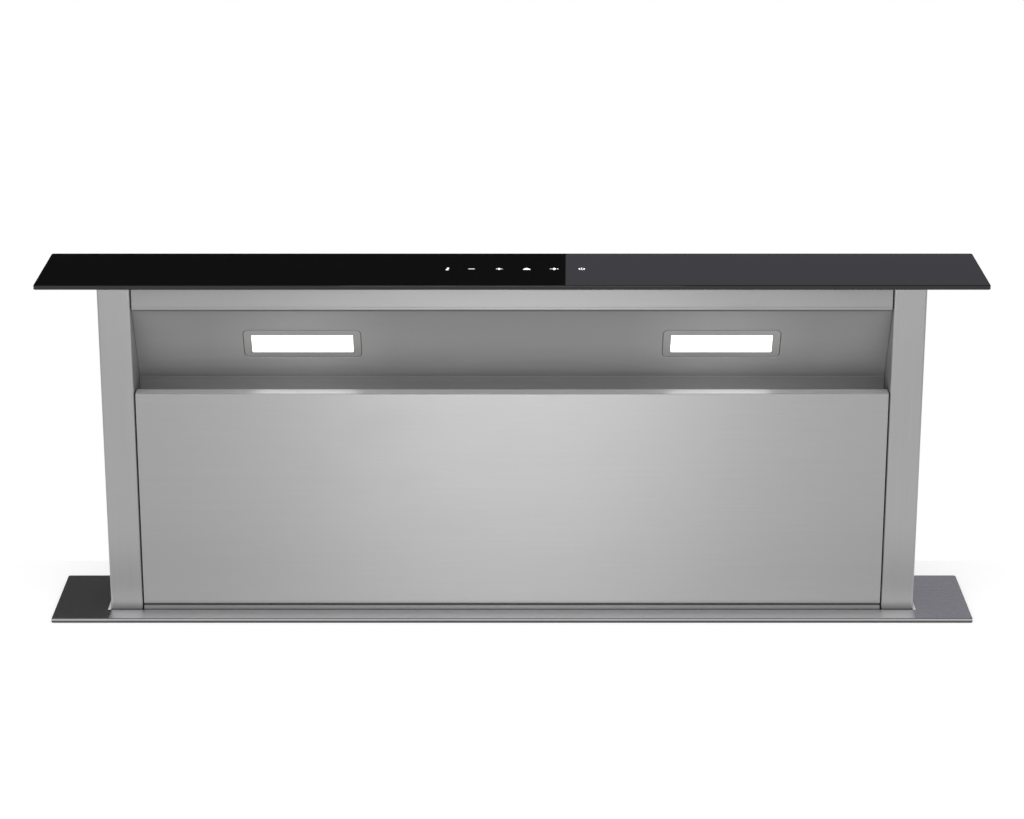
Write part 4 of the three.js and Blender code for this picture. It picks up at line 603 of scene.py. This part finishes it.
# and round its motor's flange
motor_ends = inside("fan_motor", 0, 4 * MM)
motor_circle = (motor_ends[1] - motor_ends[0]) / 2
heads("fan_motor_screws", "housing",
      [round_fan(motor_circle, casing_low[1] - 2.2 * MM, degrees) for degrees in (45, 135, 225, 315)],
      FRONT, radius=2.6 * MM, height=2.6 * MM)

# Control box: lid screws and the screws through its ears
LID_INSET = 8 * MM
lid_low, lid_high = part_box("control_box_lid")
heads("lid_screws", "housing",
      grid(inside("control_box_lid", 0, LID_INSET), lid_low[1], inside("control_box_lid", 2, LID_INSET)),
      FRONT, radius=2.8 * MM, height=1.6 * MM)
ears_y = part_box("control_box")[1][1] - 2 * MM
ears_z = (lid_low[2] + lid_high[2]) / 2
heads("box_screws", "housing", grid(inside("control_box", 0, 5.4 * MM), ears_y, (ears_z,)), FRONT,
      radius=3.2 * MM)

# Gearbox and bearings: screws in their feet
gearbox_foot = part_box("lift_gearbox")[0][2] + 3 * MM
feet_x, feet_y = inside("lift_gearbox", 0, 6 * MM), inside("lift_gearbox", 1, 8 * MM)
heads("gearbox_screws", "housing", [(x, y, gearbox_foot) for x in feet_x for y in feet_y], TOP)
for name in SIDES:
    bearing = f"shaft_bearing_{name}"
    bearing_middle = sum(inside(bearing, 0, 0)) / 2
    bearing_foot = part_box(bearing)[0][2] + 5.7 * MM
    heads(f"bearing_screws_{name}", "housing",
          [(bearing_middle, y, bearing_foot) for y in inside(bearing, 1, 4 * MM)], TOP, radius=2.6 * MM)

# Felt strips that fill the deck plate's opening beside the column
DECK_SIDE_GAP = 3.6 * MM
GAP = 0.3 * MM
FELT_PAST_COLUMN = 0.6 * MM
FELT_TOP, FELT_FOOT = 0.2 * MM, 3.0 * MM  # below the deck plate's top
upright_low, upright_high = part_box("upright_right")
deck_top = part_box("deck_plate")[1][2]
for name, side in SIDES.items():
    x0, x1 = sorted(side * (upright_high[0] + off) for off in (GAP, DECK_SIDE_GAP - GAP))
    felt_low = (x0, upright_low[1] - FELT_PAST_COLUMN, deck_top - FELT_FOOT)
    felt_high = (x1, upright_high[1] + FELT_PAST_COLUMN, deck_top - FELT_TOP)
    piece(f"felt_{name}", block_mesh("felt", felt_low, felt_high), felt_finish, "housing")

# Folded hem along the foot of the rail under the glass, and a dark strip between it and the lamp panel: a
# painted shadow
RAIL_BEND = 2.1 * MM
HEM_DROP = 0.4 * MM
HEM_SHEET = 0.9 * MM
SHADOW_STRIP_BACK = 0.6 * MM  # how far the strip stands back from the rail's face
SHADOW_STRIP_HEIGHT = 1.8 * MM
SHADOW_STRIP_DEPTH = 3.6 * MM
rail_low, rail_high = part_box("top_rail")
hem_foot = rail_low[2] - HEM_DROP
hem = block_mesh("rail_hem", (rail_low[0], rail_low[1], hem_foot),
                 (rail_high[0], rail_low[1] + HEM_SHEET, rail_low[2] + RAIL_BEND))
piece("rail_hem", hem, rail_steel, "column")

shadow_strip_top = hem_foot - 0.05 * MM
shadow_strip_front = rail_low[1] + SHADOW_STRIP_BACK
shadow_strip = block_mesh("rail_shadow_strip", (rail_low[0], shadow_strip_front, shadow_strip_top - SHADOW_STRIP_HEIGHT),
                  (rail_high[0], shadow_strip_front + SHADOW_STRIP_DEPTH, shadow_strip_top))
piece("rail_shadow_strip", shadow_strip, shadow_strip_finish, "column")

# ---------------------------------------------------------------- touch symbols

ICON_PROUD = 0.03 * MM
ICON_Y = 0.6 * MM
ICON_PITCH = 26.4 * MM
ICON_MIDDLE = 0.9 * MM
ROUND_STEPS = 16
icon_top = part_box("glass_top")[1][2]


def flat_mesh(outlines):
    """Thin flat prisms, each from a closed outline of (x, y) in millimetres."""
    bm = bmesh.new()
    for outline in outlines:
        face = bm.faces.new([bm.verts.new((x * MM, y * MM, 0)) for x, y in outline])
        grown = bmesh.ops.extrude_face_region(bm, geom=[face])["geom"]
        top = [part for part in grown if isinstance(part, bmesh.types.BMVert)]
        bmesh.ops.translate(bm, vec=(0, 0, 2 * ICON_PROUD), verts=top)
    bmesh.ops.recalc_face_normals(bm, faces=bm.faces)
    return finished_mesh(bm, "symbol")


def bar(x0, x1, y0, y1):
    return [(x0, y0), (x1, y0), (x1, y1), (x0, y1)]


def arc(radius, start, end):
    """Points from one angle to another, in degrees."""
    angles = [math.radians(start + (end - start) * i / ROUND_STEPS) for i in range(ROUND_STEPS + 1)]
    return [(radius * math.cos(a), radius * math.sin(a)) for a in angles]


def disc(radius):
    return arc(radius, 0, 360)[:-1]


def arc_band(radius, width, start, end):
    return arc(radius + width / 2, start, end) + arc(radius - width / 2, end, start)


SYMBOLS = {
    "digit": [[(2.6, 4.0), (4.8, 4.0), (4.8, 3.2), (3.1, -2.8), (4.6, -2.8), (4.6, -4.0), (1.6, -4.0),
               (1.6, -3.2), (3.6, 3.0), (2.6, 3.0)]],
    "minus": [bar(-3.0, 3.0, -0.6, 0.6)],
    "plus": [bar(-3.0, 3.0, -0.6, 0.6), bar(-0.6, 0.6, 0.6, 3.0), bar(-0.6, 0.6, -3.0, -0.6)],
    "raise": [[(-3.6, -1.2), (3.6, -1.2), (0, 3.4)], bar(-3.6, 3.6, -3.0, -1.9)],
    "lamp": [disc(1.9), bar(-4.0, -2.5, -0.6, 0.6), bar(2.5, 4.0, -0.6, 0.6), bar(-0.5, 0.5, 2.5, 4.0),
             bar(-0.5, 0.5, -4.0, -2.5)],
    "power": [arc_band(2.7, 0.8, -240, 60), bar(-0.4, 0.4, 0.6, 3.8)],
}
for i, (name, outlines) in enumerate(SYMBOLS.items()):
    mesh = flat_mesh(outlines)
    x = ICON_MIDDLE + (i - (len(SYMBOLS) - 1) / 2) * ICON_PITCH
    mesh.transform(Matrix.Translation((x, ICON_Y, icon_top - ICON_PROUD)))
    piece(f"symbol_{name}", mesh, icon_finish, "column")

# ---------------------------------------------------------------- stage

WORKTOP = (-0.560, 0.560, -0.520, 0.110)
CUT_OUT = (-0.420, 0.420, -0.052, 0.052)
WORKTOP_THICKNESS = 0.030
FLOOR_X, FLOOR_Y = 1.6, 1.5
FLOOR_THICKNESS = 0.020
FLOOR_CLEARANCE = 0.5 * MM


def stage_material(name, value, glow_strength):
    """Pale plain ground that shows shadows and otherwise matches the background."""
    s = Shader(name)
    mottle = s.vary(s.noise(2.5), value - 0.01, value + 0.01)
    base = s.add("ShaderNodeCombineColor", {0: mottle, 1: mottle, 2: mottle}).outputs[0]
    return s.principled(Base_Color=base, Roughness=0.8, Specular_IOR_Level=0.1,
                        Emission_Color=grey(1.0), Emission_Strength=glow_strength)


def stage_piece(name, mesh, material):
    mesh.materials.append(material)
    obj = bpy.data.objects.new(name, mesh)
    scene.collection.objects.link(obj)
    return obj


def worktop_mesh(outer, inner, z0, z1):
    """A slab with one rectangular hole. `outer` and `inner` are (x0, x1, y0, y1)."""
    bm = bmesh.new()
    rings = [[bm.verts.new((x, y, z)) for x, y in ((b[0], b[2]), (b[1], b[2]), (b[1], b[3]), (b[0], b[3]))]
             for b, z in ((outer, z0), (outer, z1), (inner, z1), (inner, z0))]
    for ring, following in zip(rings, rings[1:] + rings[:1]):
        for i in range(4):
            bm.faces.new((ring[i], ring[(i + 1) % 4], following[(i + 1) % 4], following[i]))
    bmesh.ops.recalc_face_normals(bm, faces=bm.faces)
    return finished_mesh(bm, "worktop")


# A plain worktop with its cut-out, and the cabinet's floor
ground = stage_material("stage_ground", 0.86, 0.42)
floor_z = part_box("housing_shell")[0][2]
floor = block_mesh("floor", (-FLOOR_X, -FLOOR_Y, floor_z - FLOOR_THICKNESS),
                   (FLOOR_X, FLOOR_Y, floor_z - FLOOR_CLEARANCE))
stage_piece("worktop", worktop_mesh(WORKTOP, CUT_OUT, -WORKTOP_THICKNESS, 0.0), ground)
stage_piece("floor", floor, ground)


def card(name, x0, x1, near, far, colour):
    """A reflector that only shiny surfaces see. `near` and `far` are the (y, z) of its two long edges."""
    s = Shader(name)
    s.principled(Base_Color=grey(0.0), Roughness=1.0, Emission_Color=colour, Emission_Strength=1.0)
    mesh = bpy.data.meshes.new(name)
    mesh.from_pydata([(x0, *near), (x1, *near), (x1, *far), (x0, *far)], [], [(0, 1, 2, 3)])
    obj = stage_piece(name, mesh, s.material)
    obj.visible_camera = False
    obj.visible_diffuse = False
    obj.visible_shadow = False


# Two tall cards behind the vent, mirrored by the glass and the deck plate, and two just over the worktop
# in front of it, mirrored by the steel of the column
WALL_FOOT, WALL_TOP, WALL_END, WALL_SPLIT = (3.0, -0.3), (3.0, 8.0), 6.0, 0.110
LOW_END, LOW_Z = 0.55, 4 * MM
card("card_dark", -WALL_END, WALL_SPLIT, WALL_FOOT, WALL_TOP, grey(0.006))
card("card_grey", WALL_SPLIT, WALL_END, WALL_FOOT, WALL_TOP, (0.188, 0.183, 0.208, 1.0))
card("card_low_near", -LOW_END, LOW_END, (-0.075, LOW_Z), (-0.18, LOW_Z), grey(0.68))
card("card_low_far", -LOW_END, LOW_END, (-0.18, LOW_Z), (-0.50, LOW_Z), grey(1.0))

# ---------------------------------------------------------------- lights


def softbox(name, at, target, size, power):
    light = bpy.data.lights.new(name, "AREA")
    light.shape = "RECTANGLE"
    light.size, light.size_y = size
    light.energy = power
    obj = bpy.data.objects.new(name, light)
    obj.location = at
    obj.rotation_euler = (Vector(target) - Vector(at)).to_track_quat("-Z", "Y").to_euler()
    obj.visible_camera = False
    scene.collection.objects.link(obj)
    return obj


def keep_off(node, lights):
    """The lights do not reach the node, so its polish does not mirror them."""
    skipped = bpy.data.collections.new(f"unlit_{node}")
    skipped.objects.link(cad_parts[node])
    skipped.collection_objects[0].light_linking.link_state = "EXCLUDE"
    for light in lights:
        light.light_linking.receiver_collection = skipped


key = softbox("key", (0.0, -1.5, 0.15), (0.0, 0.0, 0.15), (0.5, 0.4), 3.5)
softbox("above", (0.0, -0.6, 3.0), (0.0, 0.0, 0.0), (2.4, 1.6), 16)
fills = [softbox(f"fill_{name}", (side * 2.4, -1.2, 1.0), (0.0, 0.0, 0.1), (1.2, 1.6), 10)
         for name, side in SIDES.items()]
keep_off("deck_plate", [key])
keep_off("glass_top", fills)

# A white world, dimmer as a light than as it is seen and mirrored
AMBIENT_STRENGTH, SEEN_STRENGTH = 0.55, 1.0
world = bpy.data.worlds.new("studio")
scene.world = world
world.use_nodes = True
tree = world.node_tree
tree.nodes.clear()
rays = tree.nodes.new("ShaderNodeLightPath").outputs
seen = rays["Is Camera Ray"]
for kind in ("Is Glossy Ray", "Is Transmission Ray"):
    either = tree.nodes.new("ShaderNodeMath")
    either.operation = "MAXIMUM"
    tree.links.new(seen, either.inputs[0])
    tree.links.new(rays[kind], either.inputs[1])
    seen = either.outputs[0]
blend = tree.nodes.new("ShaderNodeMixShader")
tree.links.new(seen, blend.inputs[0])
for socket, strength in enumerate((AMBIENT_STRENGTH, SEEN_STRENGTH), start=1):
    white = tree.nodes.new("ShaderNodeBackground")
    white.inputs["Color"].default_value = grey(1.0)
    white.inputs["Strength"].default_value = strength
    tree.links.new(white.outputs[0], blend.inputs[socket])
surface = tree.nodes.new("ShaderNodeOutputWorld")
tree.links.new(blend.outputs[0], surface.inputs[0])

# ---------------------------------------------------------------- camera

CAMERA_PITCH = 18.117  # degrees below the horizontal
CAMERA_LENS = 100.14
CAMERA_AT = (0.0, -2.6369, 1.0631)
camera_data = bpy.data.cameras.new("camera")
camera_data.lens = CAMERA_LENS
camera_data.sensor_width = 36.0
camera_data.clip_end = 100.0
camera = bpy.data.objects.new("camera", camera_data)
camera.location = CAMERA_AT
camera.rotation_euler = (math.radians(90 - CAMERA_PITCH), 0.0, 0.0)
scene.collection.objects.link(camera)
scene.camera = camera
scene.view_settings.view_transform = "Standard"
